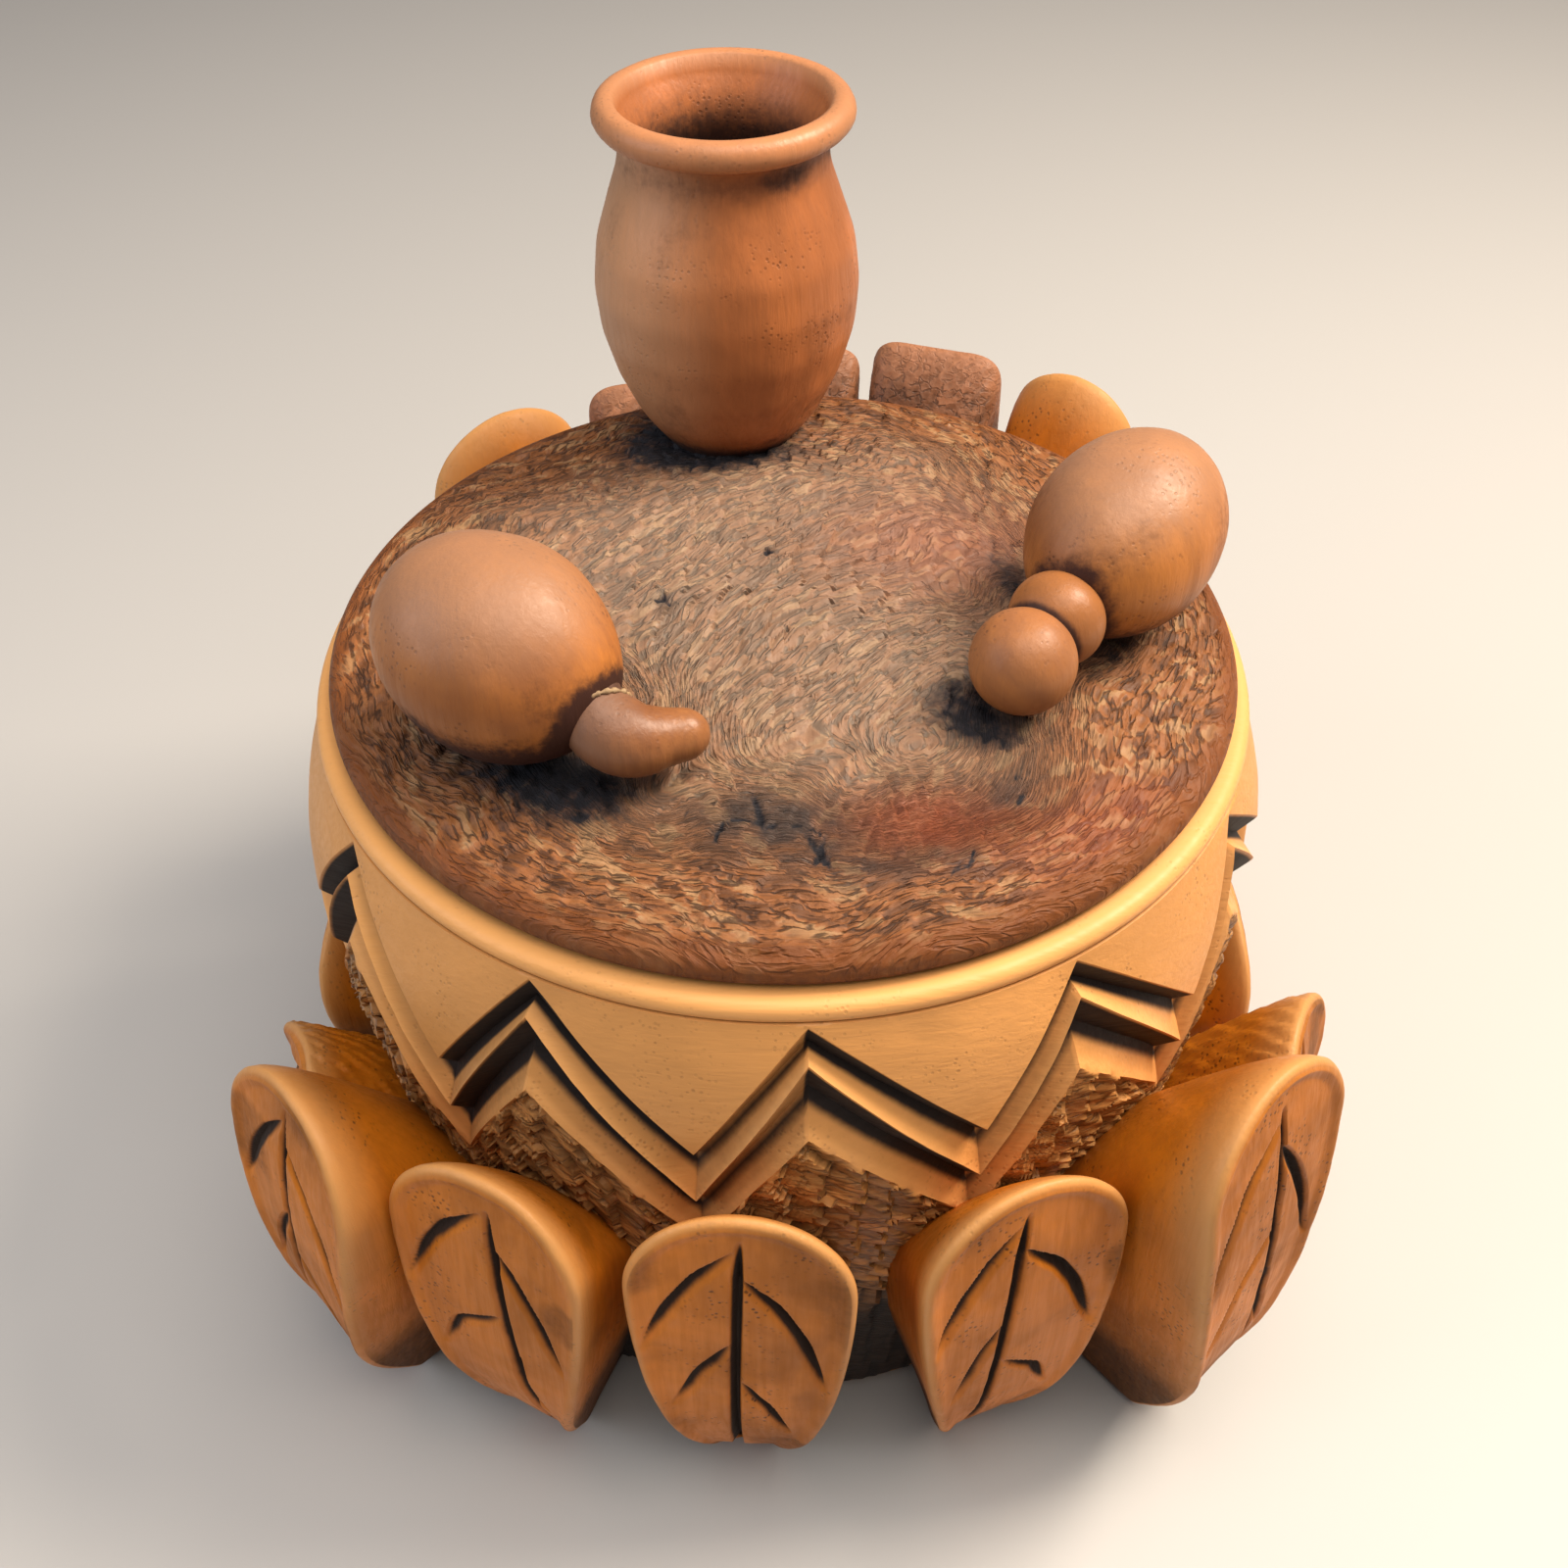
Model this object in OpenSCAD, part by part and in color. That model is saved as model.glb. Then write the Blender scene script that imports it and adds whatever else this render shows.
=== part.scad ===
// Lidded vessel, carved and turned in wood, on a ring of leaf petals.
// The lid lifts off and carries a small jar and two gourds.
// Millimetres, +Z up, the base rests on z = 0 and the front faces -Y.

/* [Pot] */
// Height of the flat base-to-rim wall
pot_h = 168; // [150:1:190]
// Largest outside radius of the barrel
pot_r = 117; // [113:1:119]
// Outside radius of the flat foot
foot_r = 100; // [90:1:104]
// Radius of the rounded ring under the lid
ring_r = 109; // [107:0.5:110]
// Radius of the round cavity
cavity_r = 92; // [80:1:94]
// Thickness of the floor of the pot
floor_t = 24; // [14:1:40]
// Number of teeth in the carved zigzag
teeth = 12; // [8:1:16]
// How far the points of the teeth lean to the right, in degrees
tooth_lean = 3.5; // [0:0.5:5]
// Width of each V-cut groove of the zigzag
groove_w = 7; // [3:0.5:8]

/* [Lid] */
// Outside radius of the lid
lid_r = 105; // [98:0.5:106]
// Thickness of the lid at its rounded edge
lid_edge = 8; // [6:0.5:12]
// Rise of the dome from edge to middle
dome_h = 10; // [6:0.5:16]
// Depth of the spigot that locates the lid in the cavity
spigot_h = 10; // [6:0.5:16]
// Gap all round between the spigot and the cavity
spigot_gap = 1.5; // [0.5:0.1:3]

/* [Petals] */
// Width of a petal at the front and sides
petal_w = 50; // [44:0.5:50]
// Width of a petal at the back, where they stand closer together
back_petal_w = 41; // [36:0.5:42]
// How far the foot of a petal leans in under its face
petal_lean = 20; // [10:1:24]
// Gap between a petal and the wall behind it
petal_gap = 0.2; // [0.1:0.1:0.5]

/* [Jar] */
// Height of the jar above the lid
jar_h = 88; // [80:1:100]
// Belly radius of the jar
jar_belly_r = 33; // [30:0.5:36]
// Radius of the rolled lip
jar_lip_r = 31; // [29:0.5:33]
// Radius of the bore of the neck
jar_bore_r = 20; // [17:0.5:21]

/* [Gourds] */
// Half length of the left gourd
left_len = 27; // [25:0.5:28]
// Radius of the left gourd
left_r = 22.5; // [21:0.5:22.5]
// Half length of the right gourd
right_len = 27; // [25:0.5:28]
// Radius of the right gourd
right_r = 21; // [19:0.5:21]
// Radius of the ball at the end of the right gourd
ball_r = 11.5; // [9:0.5:11.5]

/* [Dowels] */
// Diameter of the dowels under the jar and gourds
dowel_d = 10; // [8:0.5:11]
// Diameter of the pegs behind the petals and in the small joints
peg_d = 6; // [4:0.5:7]

/* [Hidden] */
lid_z = pot_h;
lid_top = lid_z + lid_edge;
cavity_z = floor_t;
// radius of the round section of the ring under the lid
bead_of_ring = 2.75;
dome_r = (lid_r * lid_r + dome_h * dome_h) / (2 * dome_h);
// height of the top of the lid at a distance d from its middle
function dome_z(d) = lid_top + dome_h - dome_r + sqrt(dome_r * dome_r - d * d);

// Each petal, starting at the front and going to the right: the way it faces in
// degrees, how far out its face stands, how high its tip is, and 1 for a flat top.
// They are carved by eye: the front corners stand out and the back ones are tall.
petal_az = [-4, 23, 43.5, 66, 91, 116, 145, 161.5, 178.5, 196, 215, 240, 266, 291, 312, 332];
petal_out = [134, 136, 157, 145, 127, 128, 160, 156, 155, 152, 150, 128, 127, 136, 153, 140];
petal_top = [126, 124, 142, 97, 80, 96, 171, 171, 168, 161, 163, 92, 76, 74, 124, 124];
petal_flat = [0, 0, 0, 0, 0, 0, 0, 1, 1, 1, 0, 0, 0, 0, 0, 0];
petal_foot = 7;
// petals taller than this, and the flat-topped ones, are of the narrow kind
tall_petal_z = 165;
petal_base_z = 1;
petal_belly_z = 60;
peg_z = 48;

jar_at = [-14, 80];
jar_z = dome_z(norm(jar_at));
left_at = [-58, -45, lid_top + 28.5];
left_dir = [0.82, -0.48, -0.3];
stem_at = [-39, -56, lid_top + 22.5];
stem_dir = [0.4, -0.8, -0.45];
stem_r = 7.4;
stem_tip_r = 4.8;
stem_bend = 11;
stem_turn = 80;
right_at = [76, -2, lid_top + 26.5];
right_dir = [-0.58, -0.79, -0.186];
bead_r = 10.7;
bead_at = right_len + 3;
ball_at = right_len + 17;
dowel_depth = 9;

wood = "#b9713a";
wood_light = "#cf9352";
wood_dark = "#8f5a38";
wood_red = "#a8602f";

$fn = 64;

// ---- helpers ----

// turns the +Z axis onto the direction d and moves the origin to p
module along(p, d) {
    n = norm(d);
    translate(p)
        rotate([0, acos(d[2] / n), atan2(d[1], d[0])])
            children();
}

// an egg along +Z, from -a to +a
module egg(a, r) {
    rotate_extrude()
        intersection() {
            scale([r / a, 1])
                circle(a);
            translate([0, -a])
                square([r, 2 * a]);
        }
}

// ---- pot ----

// outline of the wall from foot to ring, to be turned round Z; `grow` adds to every radius
module wall_outline(grow) {
    polygon([[0, 0],
        [foot_r + grow, 0],
        [foot_r + 4 + grow, 4],
        [pot_r - 3 + grow, 88],
        [pot_r + grow, 108],
        [pot_r + grow, 130],
        [pot_r - 1.5 + grow, 142],
        [pot_r - 4 + grow, 152],
        [ring_r + 1 + grow, pot_h - 8],
        [ring_r - 0.2 + grow, pot_h - 4.5],
        [ring_r - 1.8 + grow, pot_h - 3.7],
        [ring_r - bead_of_ring + grow, pot_h],
        [0, pot_h]]);
}

module pot_wall() {
    rotate_extrude($fn = 128)
        wall_outline(0);
    translate([0, 0, pot_h - bead_of_ring])
        rotate_extrude($fn = 128)
            translate([ring_r - bead_of_ring, 0])
                circle(bead_of_ring, $fn = 32);
}

module pot_cavity() {
    rotate_extrude($fn = 128) {
        translate([0, cavity_z + 12])
            square([cavity_r, pot_h]);
        translate([0, cavity_z])
            square([cavity_r - 12, pot_h]);
        translate([cavity_r - 12, cavity_z + 12])
            circle(12);
    }
}

// one straight V groove across the wall, from height z0 at angle a0 to z1 at a1
module groove_leg(z0, z1, a0, a1) {
    run = pot_r * sin(a1 - a0);
    tilt = atan2(z1 - z0, run);
    length = norm([run, z1 - z0]) + groove_w / 2;
    rotate([0, 0, (a0 + a1) / 2])
        translate([pot_r, 0, (z0 + z1) / 2])
            rotate([tilt, 0, 0])
                rotate([0, 45, 0])
                    cube([groove_w * 0.72, length, groove_w * 0.72], center = true);
}

module zigzag(z_peak, z_valley) {
    step = 360 / teeth;
    for (i = [0 : teeth - 1])
        let (peak = -87.5 + i * step) {
            groove_leg(z_peak, z_valley, peak, peak + step / 2 + tooth_lean);
            groove_leg(z_peak, z_valley, peak, peak - step / 2 + tooth_lean);
        }
}

module pot_body() {
    color(wood_light)
        difference() {
            pot_wall();
            pot_cavity();
            zigzag(pot_h - 14, pot_h - 40);
            zigzag(pot_h - 24, pot_h - 57);
            petal_peg_holes();
        }
}

// ---- petals ----

// outline of a petal seen from outside: a round or flat top, narrow foot
module petal_face(top, wide, flat_top) {
    r = wide / 2;
    corner = flat_top == 1 ? 7 : r;
    shoulder = top - corner;
    if (flat_top == 1) {
        for (side = [-1, 1])
            translate([side * (r - corner), shoulder])
                circle(corner);
        translate([corner - r, shoulder - 1])
            square([2 * (r - corner), corner + 1]);
    } else {
        translate([0, shoulder])
            circle(r);
    }
    polygon([[-petal_foot, petal_base_z], [petal_foot, petal_base_z],
        [r, shoulder - 6], [r, shoulder], [-r, shoulder], [-r, shoulder - 6]]);
}

// how far out the face of a petal stands at height z
function face_r(out, top, z) = z < petal_belly_z
    ? out - petal_lean * pow(1 - z / petal_belly_z, 2.2)
    : out - (4 + 0.25 * (out - 134)) * pow((z - petal_belly_z) / (top - petal_belly_z), 2);

// outline of a petal seen from its side: leans in at the foot, falls to the wall at the back
module petal_side(out, top) {
    steps = 12;
    back_z = max(top - (out - pot_r) - 14, peg_z + peg_d);
    face = [for (k = [0 : steps])
        let (z = petal_base_z + (top - 3 - petal_base_z) * k / steps) [face_r(out, top, z), z]];
    tip_r = face_r(out, top, top);
    polygon(concat([[70, back_z], [70, petal_base_z]], face,
        [[tip_r - 1.5, top - 0.8], [tip_r - 4, top], [tip_r - 7, top - 1.5], [pot_r - 4, back_z]]));
}

// seen from above a petal narrows towards the wall
module petal_plan(out, wide) {
    side = wide / 2 - 0.4;
    polygon([[60, -wide / 4], [out, -side], [out + 5, -side], [out + 5, side], [out, side], [60, wide / 4]]);
}

module petal(i) {
    out = petal_out[i];
    top = petal_top[i];
    wide = petal_flat[i] == 1 || top > tall_petal_z ? back_petal_w : petal_w;
    color(petal_flat[i] == 1 ? wood_dark : wood)
        rotate([0, 0, petal_az[i] - 90])
            difference() {
                intersection() {
                    rotate([90, 0, 90])
                        linear_extrude(200)
                            petal_face(top, wide, petal_flat[i]);
                    rotate([90, 0, 0])
                        linear_extrude(100, center = true)
                            petal_side(out, top);
                    linear_extrude(200)
                        petal_plan(out, wide);
                }
                rotate_extrude($fn = 128)
                    wall_outline(petal_gap);
                petal_peg_bore();
            }
}

// bore for the peg, along the petal's own outward direction
module petal_peg_bore() {
    translate([pot_r - 22, 0, peg_z])
        rotate([0, 90, 0])
            cylinder(d = peg_d, h = 22 + 4);
}

module petal_peg_holes() {
    for (az = petal_az)
        rotate([0, 0, az - 90])
            petal_peg_bore();
}

module petal_pegs() {
    color(wood_light)
        for (az = petal_az)
            rotate([0, 0, az - 90])
                translate([pot_r - 21.5, 0, peg_z])
                    rotate([0, 90, 0])
                        cylinder(d = peg_d, h = 25);
}

// ---- lid ----

module lid() {
    color(wood_dark)
        difference() {
            union() {
                rotate_extrude($fn = 128) {
                    intersection() {
                        translate([0, lid_top + dome_h - dome_r])
                            circle(dome_r, $fn = 360);
                        translate([0, lid_z + lid_edge / 2])
                            square([lid_r - lid_edge / 4, lid_edge + dome_h]);
                    }
                    translate([0, lid_z])
                        square([lid_r - lid_edge / 2, lid_edge]);
                    translate([lid_r - lid_edge / 2, lid_z + lid_edge / 2])
                        circle(lid_edge / 2, $fn = 32);
                }
                translate([0, 0, lid_z - spigot_h])
                    cylinder(r = cavity_r - spigot_gap, h = spigot_h + 1, $fn = 128);
            }
            dowel_hole(jar_at);
            dowel_hole(left_at);
            dowel_hole(right_at);
        }
}

// a blind hole down into the lid, under an ornament
module dowel_hole(at) {
    translate([at[0], at[1], dome_z(norm([at[0], at[1]])) - dowel_depth])
        cylinder(d = dowel_d, h = 40);
}

module dowel(at, up) {
    z = dome_z(norm([at[0], at[1]]));
    translate([at[0], at[1], z - dowel_depth])
        cylinder(d = dowel_d, h = dowel_depth + up);
}

// ---- jar ----

module jar_outline() {
    foot = 18;
    difference() {
        polygon([[0, -4], [foot - 1, -4], [foot, 2], [foot + 6, 10], [jar_belly_r - 3.5, 22],
            [jar_belly_r - 0.6, 34], [jar_belly_r, 43], [jar_belly_r - 1.5, 54],
            [jar_belly_r - 5, 65], [jar_bore_r + 5.2, 74], [jar_bore_r + 5, 79],
            [jar_bore_r + 7, jar_h - 5], [jar_lip_r - 3, jar_h - 5], [jar_lip_r - 3, jar_h],
            [0, jar_h]]);
        polygon([[0, 14], [12, 14], [20, 22], [jar_belly_r - 6, 36], [jar_belly_r - 6, 48],
            [jar_bore_r + 3, 64], [jar_bore_r, 74], [jar_bore_r, 80], [jar_lip_r - 7, jar_h + 1],
            [0, jar_h + 1]]);
    }
    translate([jar_lip_r - 3.5, jar_h - 3.5])
        circle(3.5, $fn = 32);
}

// the jar stands on its foot, hollowed to follow the dome of the lid
module jar() {
    color(wood_red)
        difference() {
            translate([jar_at[0], jar_at[1], jar_z])
                rotate_extrude($fn = 96)
                    jar_outline();
            translate([jar_at[0], jar_at[1], jar_z - dowel_depth])
                cylinder(d = dowel_d, h = dowel_depth + 9);
            translate([0, 0, lid_top + dome_h - dome_r])
                sphere(dome_r + 0.3, $fn = 360);
        }
}

module jar_dowel() {
    color(wood_light)
        dowel(jar_at, 8.5);
}

// ---- left gourd ----

module left_gourd() {
    color(wood)
        difference() {
            along(left_at, left_dir)
                egg(left_len, left_r);
            dowel_hole_up(left_at);
            along(stem_at, stem_dir) {
                translate([0, 0, -8])
                    cylinder(d = peg_d, h = 20);
                cylinder(r = stem_r + 0.1, h = 30);
            }
        }
}

// a blind hole up into an ornament from the lid
module dowel_hole_up(at) {
    z = dome_z(norm([at[0], at[1]]));
    translate([at[0], at[1], z - 5])
        cylinder(d = dowel_d, h = at[2] - z);
}

module left_gourd_dowel() {
    color(wood_light)
        dowel(left_at, left_at[2] - dome_z(norm([left_at[0], left_at[1]])) - 6);
}

// half outline of the tapered tip of the horn
module stem_tip() {
    round_r = stem_tip_r + 1;
    polygon([[0, 0], [stem_r, 0], [sqrt(round_r * round_r - 1), 5], [0, 5]]);
    intersection() {
        translate([0, 4])
            circle(round_r);
        translate([0, 5])
            square(20);
    }
}

// a horn: a bend to the right and a tapered round tip
module left_gourd_stem() {
    color(wood_red)
        along(stem_at, stem_dir)
            rotate([0, 0, 90])
                difference() {
                    union() {
                        translate([stem_bend, 0, 0.1])
                            rotate([90, 0, 180])
                                rotate_extrude(angle = stem_turn)
                                    translate([stem_bend, 0])
                                        circle(stem_r);
                        translate([stem_bend * (1 - cos(stem_turn)), 0, 0.1 + stem_bend * sin(stem_turn)])
                            rotate([0, stem_turn, 0])
                                rotate_extrude()
                                    stem_tip();
                    }
                    translate([0, 0, -1])
                        cylinder(d = peg_d, h = 6);
                }
}

module left_stem_peg() {
    color(wood_light)
        along(stem_at, stem_dir)
            translate([0, 0, -7.5])
                cylinder(d = peg_d, h = 12);
}

// ---- right gourd ----

module right_pin_bore(from, length) {
    along(right_at, right_dir)
        translate([0, 0, from])
            cylinder(d = peg_d, h = length);
}

module right_gourd() {
    color(wood)
        difference() {
            along(right_at, right_dir)
                egg(right_len, right_r);
            dowel_hole_up(right_at);
            right_pin_bore(right_len - 12, 20);
            bead_shape(0.15);
        }
}

module bead_shape(grow) {
    along(right_at, right_dir)
        translate([0, 0, bead_at])
            sphere(bead_r + grow, $fn = 48);
}

module ball_shape(grow) {
    along(right_at, right_dir)
        translate([0, 0, ball_at])
            sphere(ball_r + grow, $fn = 48);
}

module right_gourd_bead() {
    color(wood_red)
        difference() {
            bead_shape(0);
            ball_shape(0.15);
            right_pin_bore(0, 60);
        }
}

module right_gourd_ball() {
    color(wood)
        difference() {
            ball_shape(0);
            right_pin_bore(0, ball_at + 3);
        }
}

module right_gourd_pin() {
    color(wood_light)
        right_pin_bore(right_len - 11.5, ball_at + 2.5 - right_len + 11.5);
}

module right_gourd_dowel() {
    color(wood_light)
        dowel(right_at, right_at[2] - dome_z(norm([right_at[0], right_at[1]])) - 6);
}

pot_body();
lid();
jar();
jar_dowel();
left_gourd();
left_gourd_stem();
left_stem_peg();
left_gourd_dowel();
right_gourd();
right_gourd_bead();
right_gourd_ball();
right_gourd_pin();
right_gourd_dowel();
petal_pegs();
petal(0);  // petal_01
petal(1);  // petal_02
petal(2);  // petal_03
petal(3);  // petal_04
petal(4);  // petal_05
petal(5);  // petal_06
petal(6);  // petal_07
petal(7);  // petal_08
petal(8);  // petal_09
petal(9);  // petal_10
petal(10);  // petal_11
petal(11);  // petal_12
petal(12);  // petal_13
petal(13);  // petal_14
petal(14);  // petal_15
petal(15);  // petal_16
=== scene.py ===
"""Builds the looks of a lidded, leaf-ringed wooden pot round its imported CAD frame."""
import math

import bpy
import numpy as np
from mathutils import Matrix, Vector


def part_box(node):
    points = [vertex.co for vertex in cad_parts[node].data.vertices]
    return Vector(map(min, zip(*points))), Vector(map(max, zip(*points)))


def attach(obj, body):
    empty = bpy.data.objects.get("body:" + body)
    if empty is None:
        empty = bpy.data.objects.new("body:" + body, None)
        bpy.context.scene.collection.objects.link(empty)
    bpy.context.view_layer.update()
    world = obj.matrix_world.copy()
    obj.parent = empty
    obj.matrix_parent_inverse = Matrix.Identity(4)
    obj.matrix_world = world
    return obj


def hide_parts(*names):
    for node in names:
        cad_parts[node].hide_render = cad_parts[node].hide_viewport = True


bl_info = {
    "name": "Leaf-ringed lidded pot",
    "version": (1, 0, 0),
    "blender": (4, 5, 0),
    "location": "View3D > Sidebar > Leaf pot",
    "description": "Carved wooden pot with a ring of leaf petals and a lid of gourds",
    "category": "Object",
}

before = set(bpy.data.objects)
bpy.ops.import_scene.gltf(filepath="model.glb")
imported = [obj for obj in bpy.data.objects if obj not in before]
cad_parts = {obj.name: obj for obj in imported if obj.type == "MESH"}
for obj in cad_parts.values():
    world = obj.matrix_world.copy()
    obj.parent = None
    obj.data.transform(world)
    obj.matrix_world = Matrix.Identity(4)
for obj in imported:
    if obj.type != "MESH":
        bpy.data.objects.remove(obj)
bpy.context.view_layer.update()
MM = 0.001
MERGE_DIGITS = 6  # decimals of a metre to which two points must agree to be one vertex

# How far the middle vein leans to the right at the foot of each petal, in millimetres.
VEIN_LEAN = (-2, -8, 9, -4, 3, -3, 4, 2, -3, 3, -4, 3, -3, 4, -7, 11)
FLAT_TOPPED = (8, 9, 10)
GOUGED_SHANKS = (4, 8, 9, 10, 14)
FINE_PETALS = (1, 2, 3, 4, 14, 15, 16)
OUTLINE_ROUNDS = 12  # times the outline of a petal is averaged with its neighbours

# The zigzag lines from the top one down: millimetres below the pot's top at a peak and at
# a valley, whether the wall is cut to the full depth there, and what is added to that.
ZIGZAG_LINES = (
    (5.4, 38.5, 0, 0.0),  # edge of the smooth field
    (12.2, 44.0, 1, 0.0),  # bottom of the first cut
    (14.2, 55.5, 0, 0.2),  # edge of the rib
    (23.6, 62.5, 1, 1.0),  # bottom of the second cut
    (34.0, 74.0, 0, 1.0),  # edge of the gouged wall
)
ZIGZAG_START = 2.5  # degrees to the right of the front where the first leg begins
FALLING_COLUMNS, RISING_COLUMNS = 37, 23  # columns of points in a tooth's two legs
SLOPE_ROWS, CUT_ROWS = 6, 5  # rows of points on a cut's bevel and on its steep side

DOWELS = ("jar_dowel", "left_stem_peg", "left_gourd_dowel", "right_gourd_pin",
          "right_gourd_dowel", "petal_pegs")

# The stage, in metres and degrees.
FLOOR_HALF = 6
WORLD_COLOUR, WORLD_LIGHT = (0.86, 0.90, 1.0, 1), 0.21
CAMERA_PLACE = (-0.0005, -0.309, 0.417)
CAMERA_TILT = 46.5
CAMERA_SHIFT = 0.0019
SENSOR_WIDTH = 36.0


# ---------------------------------------------------------------- sizes from the frame

def box_mm(node):
    """Lowest and highest corner of a CAD node, in millimetres."""
    low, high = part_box(node)
    return np.array(low) / MM, np.array(high) / MM


def middle_mm(node):
    """Middle of a CAD node's box, in millimetres."""
    low, high = box_mm(node)
    return (low + high) / 2


def petal_name(number):
    """Name of a petal's CAD node, counted from 1."""
    return f"petal_{number:02d}"


POT_TOP = float(box_mm("pot_body")[1][2])
LID_LOW, LID_HIGH = box_mm("lid")
JAR_LOW, JAR_HIGH = box_mm("jar")
LID_R = float(LID_HIGH[0])
LID_SUMMIT = float(LID_HIGH[2])


# ---------------------------------------------------------------- numpy helpers

def lattice(ix, iy, iz, seed):
    """A repeatable number from 0 to 1 for each whole-number cell, by mixing its bits."""
    h = (ix * 374761393 + iy * 668265263 + iz * 1274126177 + seed * 144665) & 0xFFFFFFFF
    h = ((h ^ (h >> 13)) * 1274126177) & 0xFFFFFFFF
    return (h ^ (h >> 16)) / 4294967295.0


def noise(points, size, seed):
    """Smooth field from -1 to 1: the eight lattice numbers round a point, blended by the
    cubic fade 3f^2 - 2f^3 of its place in the cell."""
    q = points / size
    cell = np.floor(q)
    f = q - cell
    f = f * f * (3 - 2 * f)
    cell = cell.astype(np.int64)
    total = 0
    for dx in (0, 1):
        for dy in (0, 1):
            for dz in (0, 1):
                share = (
                    (f[..., 0] if dx else 1 - f[..., 0])
                    * (f[..., 1] if dy else 1 - f[..., 1])
                    * (f[..., 2] if dz else 1 - f[..., 2])
                )
                total = total + share * lattice(
                    cell[..., 0] + dx, cell[..., 1] + dy, cell[..., 2] + dz, seed
                )
    return 2 * total - 1


def smooth_step(low, high, x):
    """0 below low, 1 above high and the cubic fade 3t^2 - 2t^3 between."""
    t = np.clip((x - low) / (high - low), 0, 1)
    return t * t * (3 - 2 * t)


def one_radius(radius):
    """A ring radius for `strokes` that is the same at every row."""
    return lambda row: 0 * row + radius


def strokes(turn, row_at, ring_radius, length, width, lean, seed):
    """Gouge strokes laid in rings round an axis.

    Each ring is `width` wide and holds as many strokes as its length allows. A stroke's
    middle is shifted at random, and it leans by `lean` degrees give or take a random
    part. A point belongs to the stroke whose middle is nearest once the long axis is
    measured in lengths and the short one in widths. Gives the height from 0 to 1, which
    rises along the stroke and falls off across it, and the stroke's own random number."""
    best = np.full(turn.shape, 1e9)
    height = np.zeros(turn.shape)
    tag = np.zeros(turn.shape)
    ring = np.floor(row_at / width).astype(np.int64)
    for d_ring in (-2, -1, 0, 1, 2):
        j = ring + d_ring
        radius = np.maximum(ring_radius((j + 0.5) * width), width)
        count = np.maximum(np.round(2 * np.pi * radius / length), 3).astype(np.int64)
        place = turn / (2 * np.pi) * count
        for d_place in (-1, 0, 1):
            k = np.floor(place).astype(np.int64) + d_place
            wrapped = np.mod(k, count)
            one = lattice(wrapped, j, j * 0 + 1, seed)
            two = lattice(wrapped, j, j * 0 + 2, seed)
            three = lattice(wrapped, j, j * 0 + 3, seed)
            along = (place - k - 0.15 - 0.7 * one) / count * 2 * np.pi * radius
            across = row_at - (j + 0.2 + 0.6 * two) * width
            tilt = np.radians(lean + 38 * (three - 0.5))
            a = (along * np.cos(tilt) + across * np.sin(tilt)) / length
            b = (across * np.cos(tilt) - along * np.sin(tilt)) / width
            far = a * a + b * b
            near = far < best
            best = np.where(near, far, best)
            ramp = 0.7 * np.clip(a + 0.5, 0, 1) + 0.3 * np.clip(1 - 1.6 * b * b, 0, 1)
            height = np.where(near, ramp, height)
            tag = np.where(near, three * 0.6 + two * 0.4, tag)
    return height, tag


def flow_of(x, y, row_at, length):
    """Places for strokes that run round an axis: the plan position counted in stroke
    lengths, which has no seam, and the row's own distance in millimetres."""
    return np.stack([x / length, y / length, row_at + 0 * x], -1)


def near_curve(x, z, knots, samples=22):
    """Distance from each point to a smooth curve through the knots, signed so that it is
    positive on the curve's left, and the share of the curve passed at the nearest point."""
    knots = np.asarray(knots, float)
    t = np.linspace(0, len(knots) - 1, samples)
    cx = np.interp(t, range(len(knots)), knots[:, 0])
    cz = np.interp(t, range(len(knots)), knots[:, 1])
    for line in (cx, cz):
        for _ in range(3):
            line[1:-1] = (line[:-2] + 2 * line[1:-1] + line[2:]) / 4
    best = np.full(x.shape, 1e9)
    side = np.zeros(x.shape)
    share = np.zeros(x.shape)
    for i in range(samples - 1):
        ex, ez = cx[i + 1] - cx[i], cz[i + 1] - cz[i]
        size = ex * ex + ez * ez
        s = np.clip(((x - cx[i]) * ex + (z - cz[i]) * ez) / size, 0, 1)
        gap = np.hypot(x - cx[i] - s * ex, z - cz[i] - s * ez)
        nearer = gap < best
        best = np.where(nearer, gap, best)
        turn = ex * (z - cz[i]) - ez * (x - cx[i])
        side = np.where(nearer, np.sign(turn), side)
        share = np.where(nearer, (i + s) / (samples - 1), share)
    return best * side, share


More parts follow.
